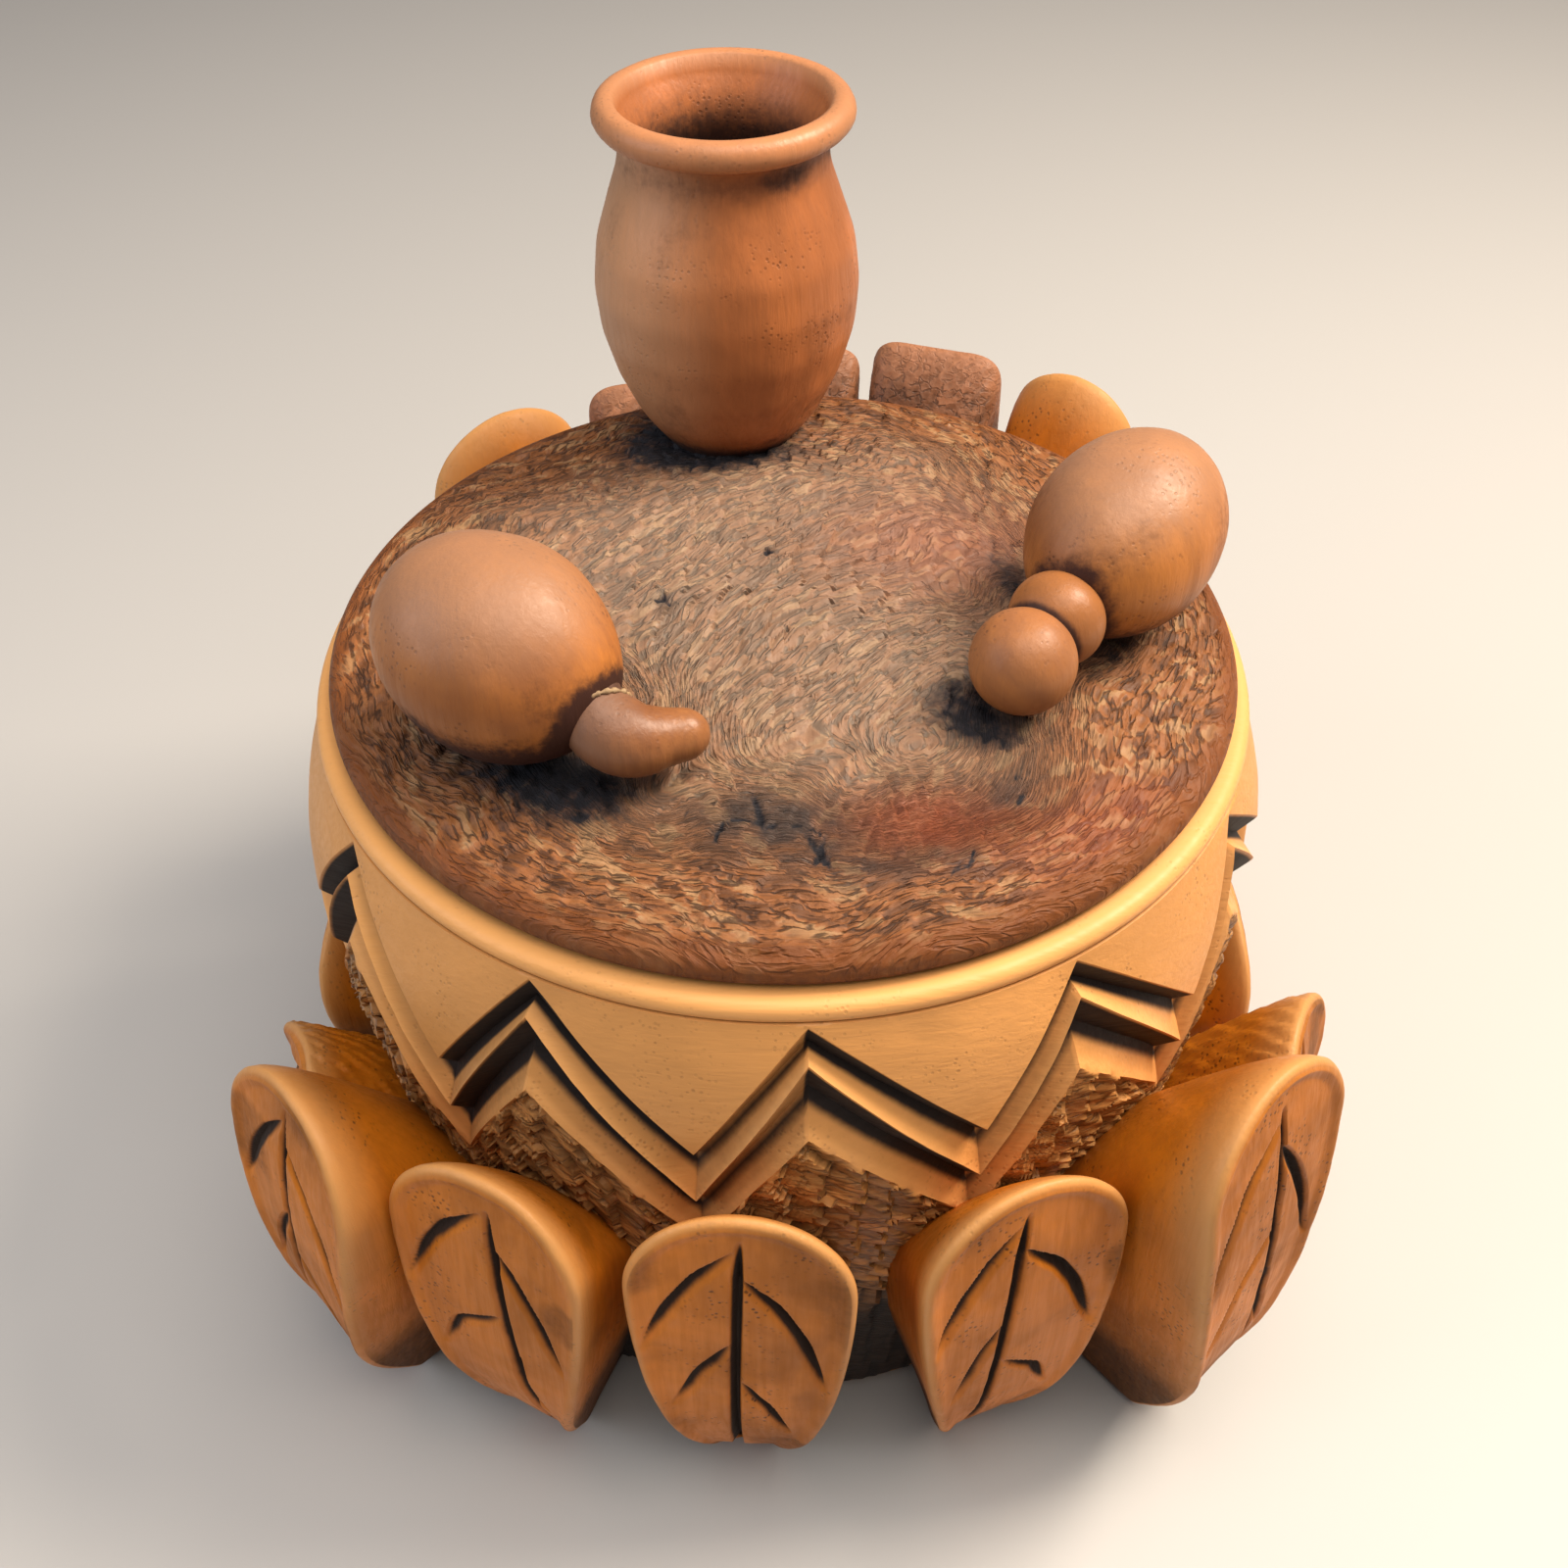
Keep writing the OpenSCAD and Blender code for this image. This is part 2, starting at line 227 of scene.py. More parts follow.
def surface(name, points, tags=None, flip=False, sharp=None):
    """A mesh from a grid of points in millimetres, rows by columns, whose last column
    joins the first.

    Points that fall together, as at a pole or a seam, become one vertex, and a face that
    loses a corner by it becomes a triangle. `tags` are numbers or vectors kept on the
    vertices, `flip` turns the faces round, and `sharp` is the angle in degrees past which
    an edge stays sharp."""
    rows, cols = points.shape[:2]
    flat = points.reshape(-1, 3) * MM
    _, first, back = np.unique(
        np.round(flat, MERGE_DIGITS), axis=0, return_index=True, return_inverse=True
    )
    ids = back.reshape(rows, cols)
    ids = np.hstack([ids, ids[:, :1]])
    quads = np.stack([ids[:-1, :-1], ids[:-1, 1:], ids[1:, 1:], ids[1:, :-1]], -1)
    quads = quads.reshape(-1, 4)
    if flip:
        quads = quads[:, ::-1]
    keep = quads != np.roll(quads, -1, axis=1)
    corners = keep.sum(1)
    whole = quads[corners == 4]
    whole = whole[(whole[:, 0] != whole[:, 2]) & (whole[:, 1] != whole[:, 3])]
    three = quads[corners == 3]
    three = three[keep[corners == 3]].reshape(-1, 3)
    vertices = flat[first]
    mesh = bpy.data.meshes.new(name)
    mesh.vertices.add(len(vertices))
    mesh.vertices.foreach_set("co", vertices.astype(np.float32).ravel())
    loops = np.concatenate([whole.ravel(), three.ravel()]).astype(np.int32)
    starts = np.concatenate(
        [np.arange(len(whole)) * 4, len(whole) * 4 + np.arange(len(three)) * 3]
    ).astype(np.int32)
    mesh.loops.add(len(loops))
    mesh.loops.foreach_set("vertex_index", loops)
    mesh.polygons.add(len(starts))
    mesh.polygons.foreach_set("loop_start", starts)
    mesh.update(calc_edges=True)
    mesh.validate()
    for tag, values in (tags or {}).items():
        if values.ndim == 3:
            layer = mesh.attributes.new(tag, "FLOAT_VECTOR", "POINT")
            kept = values.reshape(-1, 3)[first].astype(np.float32).ravel()
            layer.data.foreach_set("vector", kept)
        else:
            layer = mesh.attributes.new(tag, "FLOAT", "POINT")
            layer.data.foreach_set("value", values.reshape(-1)[first].astype(np.float32))
    mesh.polygons.foreach_set("use_smooth", np.ones(len(mesh.polygons), bool))
    if sharp:
        mesh.set_sharp_from_angle(angle=math.radians(sharp))
    piece = bpy.data.objects.new(name, mesh)
    bpy.context.scene.collection.objects.link(piece)
    return piece


def turned(profile, columns):
    """Points of a profile of (radius, height) carried round the Z axis."""
    turn = np.arange(columns) / columns * 2 * np.pi
    profile = np.asarray(profile, float)
    return np.stack(
        [
            profile[:, :1] * np.cos(turn),
            profile[:, :1] * np.sin(turn),
            profile[:, 1:] + 0 * turn,
        ],
        -1,
    )


def rounded_line(knots, spacing, rounds):
    """A line through the knots with its corners eased, in steps of about `spacing`."""
    knots = np.asarray(knots, float)
    run = np.concatenate([[0], np.cumsum(np.hypot(*np.diff(knots, axis=0).T))])
    steps = np.linspace(0, run[-1], int(run[-1] / spacing) + 2)
    line = np.stack([np.interp(steps, run, knots[:, i]) for i in (0, 1)], -1)
    for _ in range(rounds):
        line[1:-1] = (line[:-2] + 2 * line[1:-1] + line[2:]) / 4
    return line


def facing_axes(direction):
    """Three unit vectors as columns: two across the direction and the direction."""
    d = np.asarray(direction, float)
    d = d / np.linalg.norm(d)
    tip = math.acos(d[2])
    spin = math.atan2(d[1], d[0])
    ct, st, cs, ss = math.cos(tip), math.sin(tip), math.cos(spin), math.sin(spin)
    return np.array([[cs * ct, -ss, cs * st], [ss * ct, cs, ss * st], [-st, 0, ct]])


# ---------------------------------------------------------------- materials

BUMP_DISTANCE = 0.00012  # metres
BUMP_STRENGTH = 0.9
COAT_ROUGHNESS = 0.35
SPECULAR_LEVEL = 0.28


def new_group(name, inputs, outputs):
    """An empty shader node group with named inputs and outputs."""
    group = bpy.data.node_groups.new(name, "ShaderNodeTree")
    for kind, label, default in inputs:
        socket = group.interface.new_socket(label, in_out="INPUT", socket_type=kind)
        if default is not None:
            socket.default_value = default
    for kind, label in outputs:
        group.interface.new_socket(label, in_out="OUTPUT", socket_type=kind)
    return group


class Wiring:
    """Short ways to add and join the nodes of a tree."""

    def __init__(self, tree):
        self.tree = tree

    def add(self, kind, settings=None, **values):
        """A new node with its settings and its inputs fed."""
        node = self.tree.nodes.new(kind)
        for key, value in (settings or {}).items():
            setattr(node, key, value)
        for key, value in values.items():
            self.feed(node.inputs[key.replace("_", " ")], value)
        return node

    def feed(self, socket, value):
        """Sets an input to a plain value or links it to another node."""
        if isinstance(value, bpy.types.NodeSocket):
            self.tree.links.new(value, socket)
        else:
            socket.default_value = value

    def math(self, how, a, b=0.0, clamp=False):
        """A math node of one or two values."""
        node = self.tree.nodes.new("ShaderNodeMath")
        node.operation = how
        node.use_clamp = clamp
        self.feed(node.inputs[0], a)
        self.feed(node.inputs[1], b)
        return node.outputs[0]

    def stretch(self, vector, scale):
        """The vector scaled along its axes."""
        node = self.tree.nodes.new("ShaderNodeMapping")
        self.feed(node.inputs["Vector"], vector)
        self.feed(node.inputs["Scale"], scale)
        return node.outputs[0]

    def noise(self, vector, scale, detail=3.0, rough=0.55, distortion=0.0):
        """A noise texture on a vector."""
        node = self.add(
            "ShaderNodeTexNoise", Vector=vector, Scale=scale, Detail=detail, Roughness=rough
        )
        node.inputs["Distortion"].default_value = distortion
        return node.outputs["Fac"]

    def span(self, value, low, high, to_low=0.0, to_high=1.0):
        """A value mapped from one range to another and held inside it."""
        node = self.tree.nodes.new("ShaderNodeMapRange")
        node.interpolation_type = "SMOOTHSTEP"
        for key, number in (
            ("From Min", low),
            ("From Max", high),
            ("To Min", to_low),
            ("To Max", to_high),
        ):
            node.inputs[key].default_value = number
        self.feed(node.inputs["Value"], value)
        return node.outputs[0]

    def mix(self, share, a, b):
        """Two colours mixed by a share."""
        node = self.tree.nodes.new("ShaderNodeMix")
        node.data_type = "RGBA"
        self.feed(node.inputs[0], share)
        self.feed(node.inputs[6], a)
        self.feed(node.inputs[7], b)
        return node.outputs[2]


def wood_figure_group():
    """Bands, fibres and blotches of plain wood, from a vector stretched along the grain."""
    group = new_group(
        "Wood figure",
        (
            ("NodeSocketVector", "Vector", None),
            ("NodeSocketFloat", "Band Scale", 22.0),
            ("NodeSocketFloat", "Blotch Scale", 16.0),
        ),
        (
            ("NodeSocketFloat", "Bands"),
            ("NodeSocketFloat", "Fibres"),
            ("NodeSocketFloat", "Blotches"),
        ),
    )
    w = Wiring(group)
    inside = group.nodes.new("NodeGroupInput").outputs
    outside = group.nodes.new("NodeGroupOutput").inputs
    along = w.stretch(inside["Vector"], (1.0, 1.0, 0.16))
    bands = w.noise(along, inside["Band Scale"], 5.0, 0.6, 1.1)
    w.feed(outside["Bands"], w.span(bands, 0.32, 0.68))
    fine = w.stretch(inside["Vector"], (1.0, 1.0, 0.05))
    w.feed(outside["Fibres"], w.noise(fine, 620.0, 3.0, 0.6, 0.2))
    blotch = w.noise(inside["Vector"], inside["Blotch Scale"], 4.0, 0.6, 0.4)
    w.feed(outside["Blotches"], w.span(blotch, 0.35, 0.7))
    return group


def pores_group():
    """Small dark specks and pits, denser where a slow noise is high."""
    group = new_group(
        "Wood pores",
        (("NodeSocketVector", "Vector", None), ("NodeSocketFloat", "Scale", 700.0)),
        (("NodeSocketFloat", "Specks"),),
    )
    w = Wiring(group)
    inside = group.nodes.new("NodeGroupInput").outputs
    outside = group.nodes.new("NodeGroupOutput").inputs
    dots = w.add("ShaderNodeTexVoronoi", Vector=inside["Vector"], Scale=inside["Scale"])
    crowd = w.span(w.noise(inside["Vector"], 60.0, 4.0, 0.6), 0.46, 0.66)
    specks = w.span(dots.outputs["Distance"], 0.16, 0.34, 1.0, 0.0)
    w.feed(outside["Specks"], w.math("MULTIPLY", specks, crowd))
    return group


def shade_and_stain_group():
    """Turns kept marks of painted shade, burns and stains into a ragged mask from 0 to 1."""
    group = new_group(
        "Dark of the cuts",
        (
            ("NodeSocketVector", "Vector", None),
            ("NodeSocketFloat", "Mark", 0.0),
            ("NodeSocketFloat", "Raggedness", 0.5),
        ),
        (("NodeSocketFloat", "Mask"),),
    )
    w = Wiring(group)
    inside = group.nodes.new("NodeGroupInput").outputs
    outside = group.nodes.new("NodeGroupOutput").inputs
    ragged = w.math("SUBTRACT", w.noise(inside["Vector"], 420.0, 5.0, 0.65), 0.5)
    ragged = w.math("MULTIPLY", ragged, inside["Raggedness"])
    marked = w.math("ADD", inside["Mark"], ragged)
    soft = w.span(marked, 0.12, 0.8)
    present = w.span(inside["Mark"], 0.0, 0.12)
    w.feed(outside["Mask"], w.math("MULTIPLY", soft, present))
    return group


def strokes_group():
    """Fine gouge strokes on a stretched vector: long scoops with ridges between, each
    with its own tone, over finer streaks, and thin broken gaps round the scoops."""
    group = new_group(
        "Gouge strokes",
        (("NodeSocketVector", "Flow", None),),
        (
            ("NodeSocketFloat", "Height"),
            ("NodeSocketFloat", "Tone"),
            ("NodeSocketFloat", "Gap"),
        ),
    )
    w = Wiring(group)
    inside = group.nodes.new("NodeGroupInput").outputs
    outside = group.nodes.new("NodeGroupOutput").inputs
    lay = w.stretch(inside["Flow"], (1.0, 1.0, 0.62))
    warp = w.add("ShaderNodeTexNoise", Vector=lay, Scale=0.5, Detail=2.0)
    shift = w.tree.nodes.new("ShaderNodeVectorMath")
    shift.operation = "MULTIPLY_ADD"
    w.feed(shift.inputs[0], warp.outputs["Color"])
    shift.inputs[1].default_value = (1.6, 1.6, 1.6)
    w.feed(shift.inputs[2], lay)
    cells = w.add("ShaderNodeTexVoronoi", Vector=shift.outputs[0], Scale=1.0)
    split = w.add("ShaderNodeSeparateColor", Color=cells.outputs["Color"])
    scoop = w.span(cells.outputs["Distance"], 0.05, 0.75)
    streaks = w.noise(w.stretch(shift.outputs[0], (0.8, 0.8, 2.6)), 1.5, 4.0, 0.65)
    height = w.math("ADD", w.math("MULTIPLY", scoop, 0.62),
                    w.math("MULTIPLY", streaks, 0.38))
    w.feed(outside["Height"], height)
    tone = w.math("ADD", w.math("MULTIPLY", split.outputs[0], 0.5),
                  w.math("MULTIPLY", streaks, 0.5))
    w.feed(outside["Tone"], tone)
    edges = w.add("ShaderNodeTexVoronoi", {"feature": "DISTANCE_TO_EDGE"},
                  Vector=shift.outputs[0], Scale=1.0)
    thin = w.span(edges.outputs["Distance"], 0.03, 0.16, 1.0, 0.0)
    broken = w.span(w.noise(lay, 1.1, 2.0), 0.42, 0.56)
    w.feed(outside["Gap"], w.math("MULTIPLY", thin, broken))
    return group


class Woods:
    """The woods of the pot, made once and shared by its pieces."""

    groups = {}
    made = {}

    @classmethod
    def group(cls, name, maker):
        if name not in cls.groups:
            cls.groups[name] = maker()
        return cls.groups[name]


def wood(name, light, mid, dark, cut=(0.012, 0.006, 0.004), highlight_and_tone=None, lean=(0, 0, 0),
         band=22.0, blotch=16.0, specks=0.4, speck_scale=700.0, rough=(0.36, 0.55),
         chips=None, fibre=0.35, ragged=0.5, coat=0.05, gouge=None, patches=(),
         stroke_depth=0.0):
    """A satin wood. Bands run between the light and the middle tone, blotches pull it to
    the dark one, specks darken it, painted shade and real burns and stains turn it to the
    cut tone, and painted highlights and some plain edge tones go to their own tone. `chips`
    are the tones of single gouge strokes, chosen by the number that each stroke keeps. The
    low parts of the strokes and the thin gaps round them get painted shade.
    `gouge` says where the strokes lie: "all" over the piece or "part" where its mesh says
    so, both along its own flow, or "object" along the Object coordinates. `stroke_depth`
    is their share of the bump, and `patches` are kept marks with a tone and a strength."""
    if name in Woods.made:
        return Woods.made[name]
    material = bpy.data.materials.new(name)
    material.use_nodes = True
    tree = material.node_tree
    tree.nodes.clear()
    w = Wiring(tree)
    output = tree.nodes.new("ShaderNodeOutputMaterial")
    shader = tree.nodes.new("ShaderNodeBsdfPrincipled")
    w.feed(output.inputs["Surface"], shader.outputs[0])
    place = tree.nodes.new("ShaderNodeTexCoord").outputs["Object"]
    turn = w.add("ShaderNodeMapping", Vector=place)
    turn.inputs["Rotation"].default_value = [math.radians(a) for a in lean]
    vector = turn.outputs[0]

    def placed(label, maker, **values):
        node = tree.nodes.new("ShaderNodeGroup")
        node.node_tree = Woods.group(label, maker)
        for key, value in values.items():
            w.feed(node.inputs[key.replace("_", " ")], value)
        return node.outputs

    def mark(label, output="Fac"):
        node = tree.nodes.new("ShaderNodeAttribute")
        node.attribute_name = label
        return node.outputs[output]

    def shade_of_dark(factor):
        return (*[c * factor for c in dark], 1)

    figure = placed("figure", wood_figure_group, Vector=vector, Band_Scale=band,
                    Blotch_Scale=blotch)
    pits = placed("pores", pores_group, Vector=vector, Scale=speck_scale)["Specks"]
    colour = w.mix(figure["Bands"], (*light, 1), (*mid, 1))
    colour = w.mix(w.math("MULTIPLY", figure["Blotches"], 0.75), colour, (*dark, 1))
    if chips:
        amount = mark("gouged") if gouge == "part" else 1.0
        if gouge == "object":
            lay = w.stretch(vector, (330.0, 330.0, 700.0))
        else:
            lay = mark("flow", "Vector")
        cuts = placed("strokes", strokes_group, Flow=lay)
        pick = w.math("ADD", w.math("MULTIPLY", mark("chip"), 0.65),
                      w.math("MULTIPLY", cuts["Tone"], 0.35))
        warm = w.mix(w.span(pick, 0.28, 0.50), (*chips[0], 1), (*chips[1], 1))
        warm = w.mix(w.span(pick, 0.52, 0.74), warm, (*chips[2], 1))
        colour = w.mix(w.math("MULTIPLY", amount, 0.8), colour, warm)
        # painted shade: the low parts of the strokes and the thin gaps round them are darkened
        low = w.math("MULTIPLY", w.span(cuts["Height"], 0.46, 0.16), amount)
        colour = w.mix(w.math("MULTIPLY", low, 0.45), colour, shade_of_dark(0.3))
        gap_shade = w.math("MULTIPLY", w.math("MULTIPLY", cuts["Gap"], amount), 0.8)
        colour = w.mix(gap_shade, colour, shade_of_dark(0.16))
    for label, tone, strength in patches:
        colour = w.mix(w.math("MULTIPLY", mark(label), strength), colour, (*tone, 1))
    fine = w.span(figure["Fibres"], 0.3, 0.7)
    colour = w.mix(w.math("MULTIPLY", fine, fibre), colour, (*dark, 1))
    colour = w.mix(w.math("MULTIPLY", pits, specks), colour, shade_of_dark(0.35))
    # painted highlights on rims, ribs, tops and lit sides, and plain tone shifts on some edges and
    # beads, go to their own tone
    if highlight_and_tone:
        colour = w.mix(w.math("MULTIPLY", mark("highlight_and_tone"), 0.85), colour, (*highlight_and_tone, 1))
    # painted shade in cuts, grooves, gaps, hollows and undersides, and real burns, cracks and
    # stains, turn the colour to the near-black cut tone
    shade = placed("shade_and_stain_mask", shade_and_stain_group, Vector=vector, Mark=mark("shade_and_stain"), Raggedness=ragged)
    colour = w.mix(shade["Mask"], colour, (*cut, 1))
    w.feed(shader.inputs["Base Color"], colour)
    gloss = w.math("ADD", w.math("MULTIPLY", figure["Blotches"], 0.5),
                   w.math("MULTIPLY", fine, 0.5))
    gloss = w.span(gloss, 0.0, 1.0, rough[0], rough[1])
    gloss = w.math("ADD", gloss, w.math("MULTIPLY", shade["Mask"], 0.3), True)
    w.feed(shader.inputs["Roughness"], gloss)
    height = w.math("ADD", w.math("MULTIPLY", fine, 0.5), w.math("MULTIPLY", pits, -0.8))
    height = w.math("ADD", height, w.math("MULTIPLY", figure["Bands"], 0.2))
    if chips:
        lift = w.math("SUBTRACT", cuts["Height"], w.math("MULTIPLY", cuts["Gap"], 0.5))
        lift = w.math("MULTIPLY", w.math("MULTIPLY", lift, amount), stroke_depth)
        height = w.math("ADD", height, lift)
    bump = w.add("ShaderNodeBump", Height=height)
    bump.inputs["Distance"].default_value = BUMP_DISTANCE
    bump.inputs["Strength"].default_value = BUMP_STRENGTH
    w.feed(shader.inputs["Normal"], bump.outputs[0])
    shader.inputs["Coat Weight"].default_value = coat
    shader.inputs["Coat Roughness"].default_value = COAT_ROUGHNESS
    shader.inputs["Specular IOR Level"].default_value = SPECULAR_LEVEL
    Woods.made[name] = material
    return material


def wood_colours():
    """The colours set in the panel."""
    return bpy.context.scene.leaf_pot_woods


def tint(colour, factor):
    """A colour made lighter or darker by a factor."""
    return tuple(min(1.0, c * factor) for c in colour[:3])


def finish_piece(piece, body, nodes, material):
    """Dresses a piece, hangs it on its body and hides the CAD nodes it stands for."""
    piece.data.materials.append(material)
    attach(piece, body)
    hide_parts(*nodes)


# ---------------------------------------------------------------- shapes

# Radius and height of the pot's wall, in millimetres.
WALL_KNOTS = ((96, -20), (100, 0), (104, 4), (114, 88), (117, 108), (117, 130), (115.5, 142),
              (113, 152), (110, 160), (108.8, 163.5), (106.4, 173))


def wall_radius(z):
    """Radius of the pot's wall at a height: straight runs between knots, averaged over
    nine millimetres so that no corner shows."""
    heights = np.arange(-20, 173, 0.5)
    radii = np.interp(heights, [k[1] for k in WALL_KNOTS], [k[0] for k in WALL_KNOTS])
    wide = np.pad(radii, 9, mode="edge")
    eased = np.convolve(wide, np.ones(19) / 19, "valid")
    return np.interp(z, heights, eased)


def ring_rows(profile, angle):
    """Points of a profile of (radius, height) at each angle, counted from the front."""
    return np.stack([profile[:, :1] * np.sin(angle), -profile[:, :1] * np.cos(angle),
                     profile[:, 1:] + 0 * angle], -1)


def zigzag_painted_shade(z, turn, share, first):
    """Painted shade of the zigzag cuts, from 0 to 1. The steep sides are near black and the
    bevels darken towards them. On the legs that rise to the right the bevels are brown,
    and in front and to the right the steep sides are paler."""
    dark = np.zeros_like(z)
    for slope, steep in ((first["slope_2"], first["wall_2"]), (first["slope_1"], first["wall_1"])):
        dark[slope + SLOPE_ROWS - 2:slope + SLOPE_ROWS] = np.array([[0.45], [0.9]])
        dark[steep:steep + CUT_ROWS] = np.array([[1.0], [1.0], [1.0], [0.95], [0.9]])
    falls = np.roll(share, -1) < share
    bearing = (turn + 180) % 360 - 180
    paler = smooth_step(-16, -7, bearing) * (1 - falls)
    dark[first["slope_2"]:] *= 1 - 0.62 * paler
    for slope in (first["slope_1"], first["slope_2"]):
        dark[slope:slope + SLOPE_ROWS] += np.where(falls, 0.0, 0.36)
    return dark


def mouth_profile(sizes):
    """Radius and height from the top of the wall through the groove, over the ring and
    down inside to the middle of the floor, and the painted shade and painted highlight of each
    point."""
    top, bead_r = POT_TOP, 2.75
    mid = sizes.ring_radius - bead_r
    groove = [(108.9, top - 4.95), (108.3, top - 4.8), (107.5, top - 4.75), (107.5, top - 4.5)]
    bead = [(mid + bead_r * math.cos(a), top - bead_r + bead_r * math.sin(a))
            for a in np.linspace(-0.62, math.pi / 2, 9)]
    inner, low, cove = sizes.cavity_radius, sizes.floor, 12.0
    inside = [(98, top), (inner + 1, top), (inner, top - 1), (inner, 120), (inner, 80),
              (inner, low + cove)]
    inside += [(inner - cove + cove * math.cos(a), low + cove - cove * math.sin(a))
               for a in np.linspace(0.3, math.pi / 2, 6)]
    inside += [(40, low), (0, low)]
    profile = np.array(groove + bead + inside)
    dark, highlight_and_tone = np.zeros((2, len(profile), 1))
    # painted shade in the groove under the ring, darkest at its bottom, and a painted highlight on
    # the ring's bead
    dark[1:len(groove)] = 0.3
    dark[2] = 0.9
    highlight_and_tone[len(groove):len(groove) + len(bead)] = 0.55
    return profile, dark, highlight_and_tone


def pot_points(sizes):
    """The pot as rows of points that follow the carved zigzag.

    Five zigzag lines run round the wall: the edge of the smooth field, the bottom of the
    first cut, the edge of the rib, the bottom of the second cut and the edge of the
    gouged wall. Rows are spread between the lines, so every edge of the carving is a row,
    and the wall is sunk by the depth given for each line."""
    step = 360 / sizes.teeth
    long_leg = step / 2 + sizes.tooth_lean
    in_tooth = np.concatenate([
        np.linspace(0, long_leg, FALLING_COLUMNS, endpoint=False),
        np.linspace(long_leg, step, RISING_COLUMNS, endpoint=False),
    ])
    turn = (np.arange(sizes.teeth)[:, None] * step + in_tooth + ZIGZAG_START).ravel()
    share = np.where(in_tooth < long_leg, 1 - in_tooth / long_leg,
                     (in_tooth - long_leg) / (step - long_leg))
    share = np.tile(share, sizes.teeth)
    wander = noise(np.stack([np.cos(np.radians(turn)), np.sin(np.radians(turn)),
                             0 * turn], -1), 0.35, 5)
    top = POT_TOP
    bow = 4 * sizes.leg_bow * share * (1 - share)
    line, deep = [], []
    for n, (peak, valley, full, extra) in enumerate(ZIGZAG_LINES):
        high, low = top - peak, top - valley
        line.append(low + (high - low) * share + bow + 0.5 * wander * (n > 0))
        deep.append(full * sizes.cut_depth + extra)

    # each band: its ends, its rows, the depth at its ends and the gouging at its ends
    gouge_low, sunk = 62.0, 1.0
    bands = {
        "foot": (1.2, gouge_low, 10, sunk, sunk, 0.3, 1.0),
        "gouged": (gouge_low, line[4] - 1.6, 62, sunk, sunk, 1.0, 1.0),
        "edge": (line[4] - 1.6, line[4], 2, sunk, deep[4], 1.0, 0.0),
        "slope_2": (line[4], line[3], SLOPE_ROWS, deep[4], deep[3], 0.0, 0.0),
        "wall_2": (line[3], line[2], CUT_ROWS, deep[3], deep[2], 0.0, 0.0),
        "slope_1": (line[2], line[1], SLOPE_ROWS, deep[2], deep[1], 0.0, 0.0),
        "wall_1": (line[1], line[0], CUT_ROWS, deep[1], deep[0], 0.0, 0.0),
        "field": (line[0], top - 5.0, 7, 0.0, 0.0, 0.0, 0.0),
    }
    heights, sink, gouged, first = [], [], [], {}
    for label, (a, b, count, deep_a, deep_b, rough_a, rough_b) in bands.items():
        first[label] = len(heights)
        for s in np.arange(count) / count:
            heights.append(a + (b - a) * s + 0 * turn)
            sink.append(deep_a + (deep_b - deep_a) * s + 0 * turn)
            gouged.append(rough_a + (rough_b - rough_a) * s + 0 * turn)
    z, depth, rough = np.array(heights), np.array(sink), np.array(gouged)

    angle = np.radians(turn) + 0 * z
    around = np.stack([115 * np.cos(angle), 115 * np.sin(angle), z], -1)
    drift = 5.0 * noise(around, 24.0, 9)
    chip, tag = strokes(angle, z + drift, one_radius(112.0), 7.6, 2.7, -24.0, 11)
    sway = 0.40 * noise(around, 26.0, 3) + 0.15 * noise(around, 9.0, 4)
    radius = wall_radius(z) - depth + rough * (3.4 * chip - 2.8) + sway
    radius = radius + 0.10 * noise(around, 3.2, 8) * (depth > 0.05)
    x, y = radius * np.sin(angle), -radius * np.cos(angle)
    wall = np.stack([x, y, z], -1)
    # painted shade: the wall low down between the petals, the zigzag cuts and the hollows between
    # the gouge strokes
    shade_between_petals = 0.74 * smooth_step(80, 44, z)
    shade_in_hollows = rough * 1.7 * (0.48 - chip).clip(0, 1)
    shade_and_stain = np.clip(zigzag_painted_shade(z, turn, share, first) + shade_between_petals + shade_in_hollows, 0, 1)
    # painted highlights along the edge of the rib and the edge of the gouged wall
    rib_highlights = np.exp(-((z - line[2]) / 1.3) ** 2) + np.exp(-((z - line[4] - 1) / 1.6) ** 2)

    mouth, mouth_shade, mouth_highlight = mouth_profile(sizes)
    upper = ring_rows(mouth, np.radians(turn))
    lower = ring_rows(np.array([(0, 0), (60, 0), (99, 0), (100, 0.4)], float), np.radians(turn))
    below, above = 0 * lower[..., 0], 0 * upper[..., 0]
    tags = {
        "shade_and_stain": np.concatenate([below, shade_and_stain, above + mouth_shade]),
        "highlight_and_tone": np.concatenate([below, np.clip(rib_highlights * 0.6, 0, 0.8), above + mouth_highlight]),
        "chip": np.concatenate([below, tag, above + 0.4]),
        "gouged": np.concatenate([below, rough, above]),
        "flow": np.concatenate([lower * 0, flow_of(x, y, z + drift, 8.2), upper * 0]),
    }
    return np.concatenate([lower, wall, upper]), tags


def lid_profile(sizes):
    """Radius and height from the middle of the spigot's underside out to the rounded edge
    and in over the dome, and the number of points before the dome."""
    under, rim, low = POT_TOP, LID_R, float(LID_LOW[2])
    spigot = sizes.spigot_radius
    edge = 4.2
    dome_r = (rim * rim + sizes.dome_rise ** 2) / (2 * sizes.dome_rise)
    profile = [(0, low), (40, low), (spigot - 1, low), (spigot, low + 1), (spigot, under),
               (98, under)]
    for a in np.linspace(-1.35, 1.25, 16):
        profile.append((rim - edge + edge * math.cos(a),
                        under + edge + edge * math.sin(a) * (0.98 if a > 0 else 1)))
    reach = np.linspace(101.6, 0, 116)
    dome = LID_SUMMIT - dome_r + np.sqrt(dome_r * dome_r - reach * reach)
    return np.concatenate([profile, np.stack([reach, dome], -1)]), len(profile)


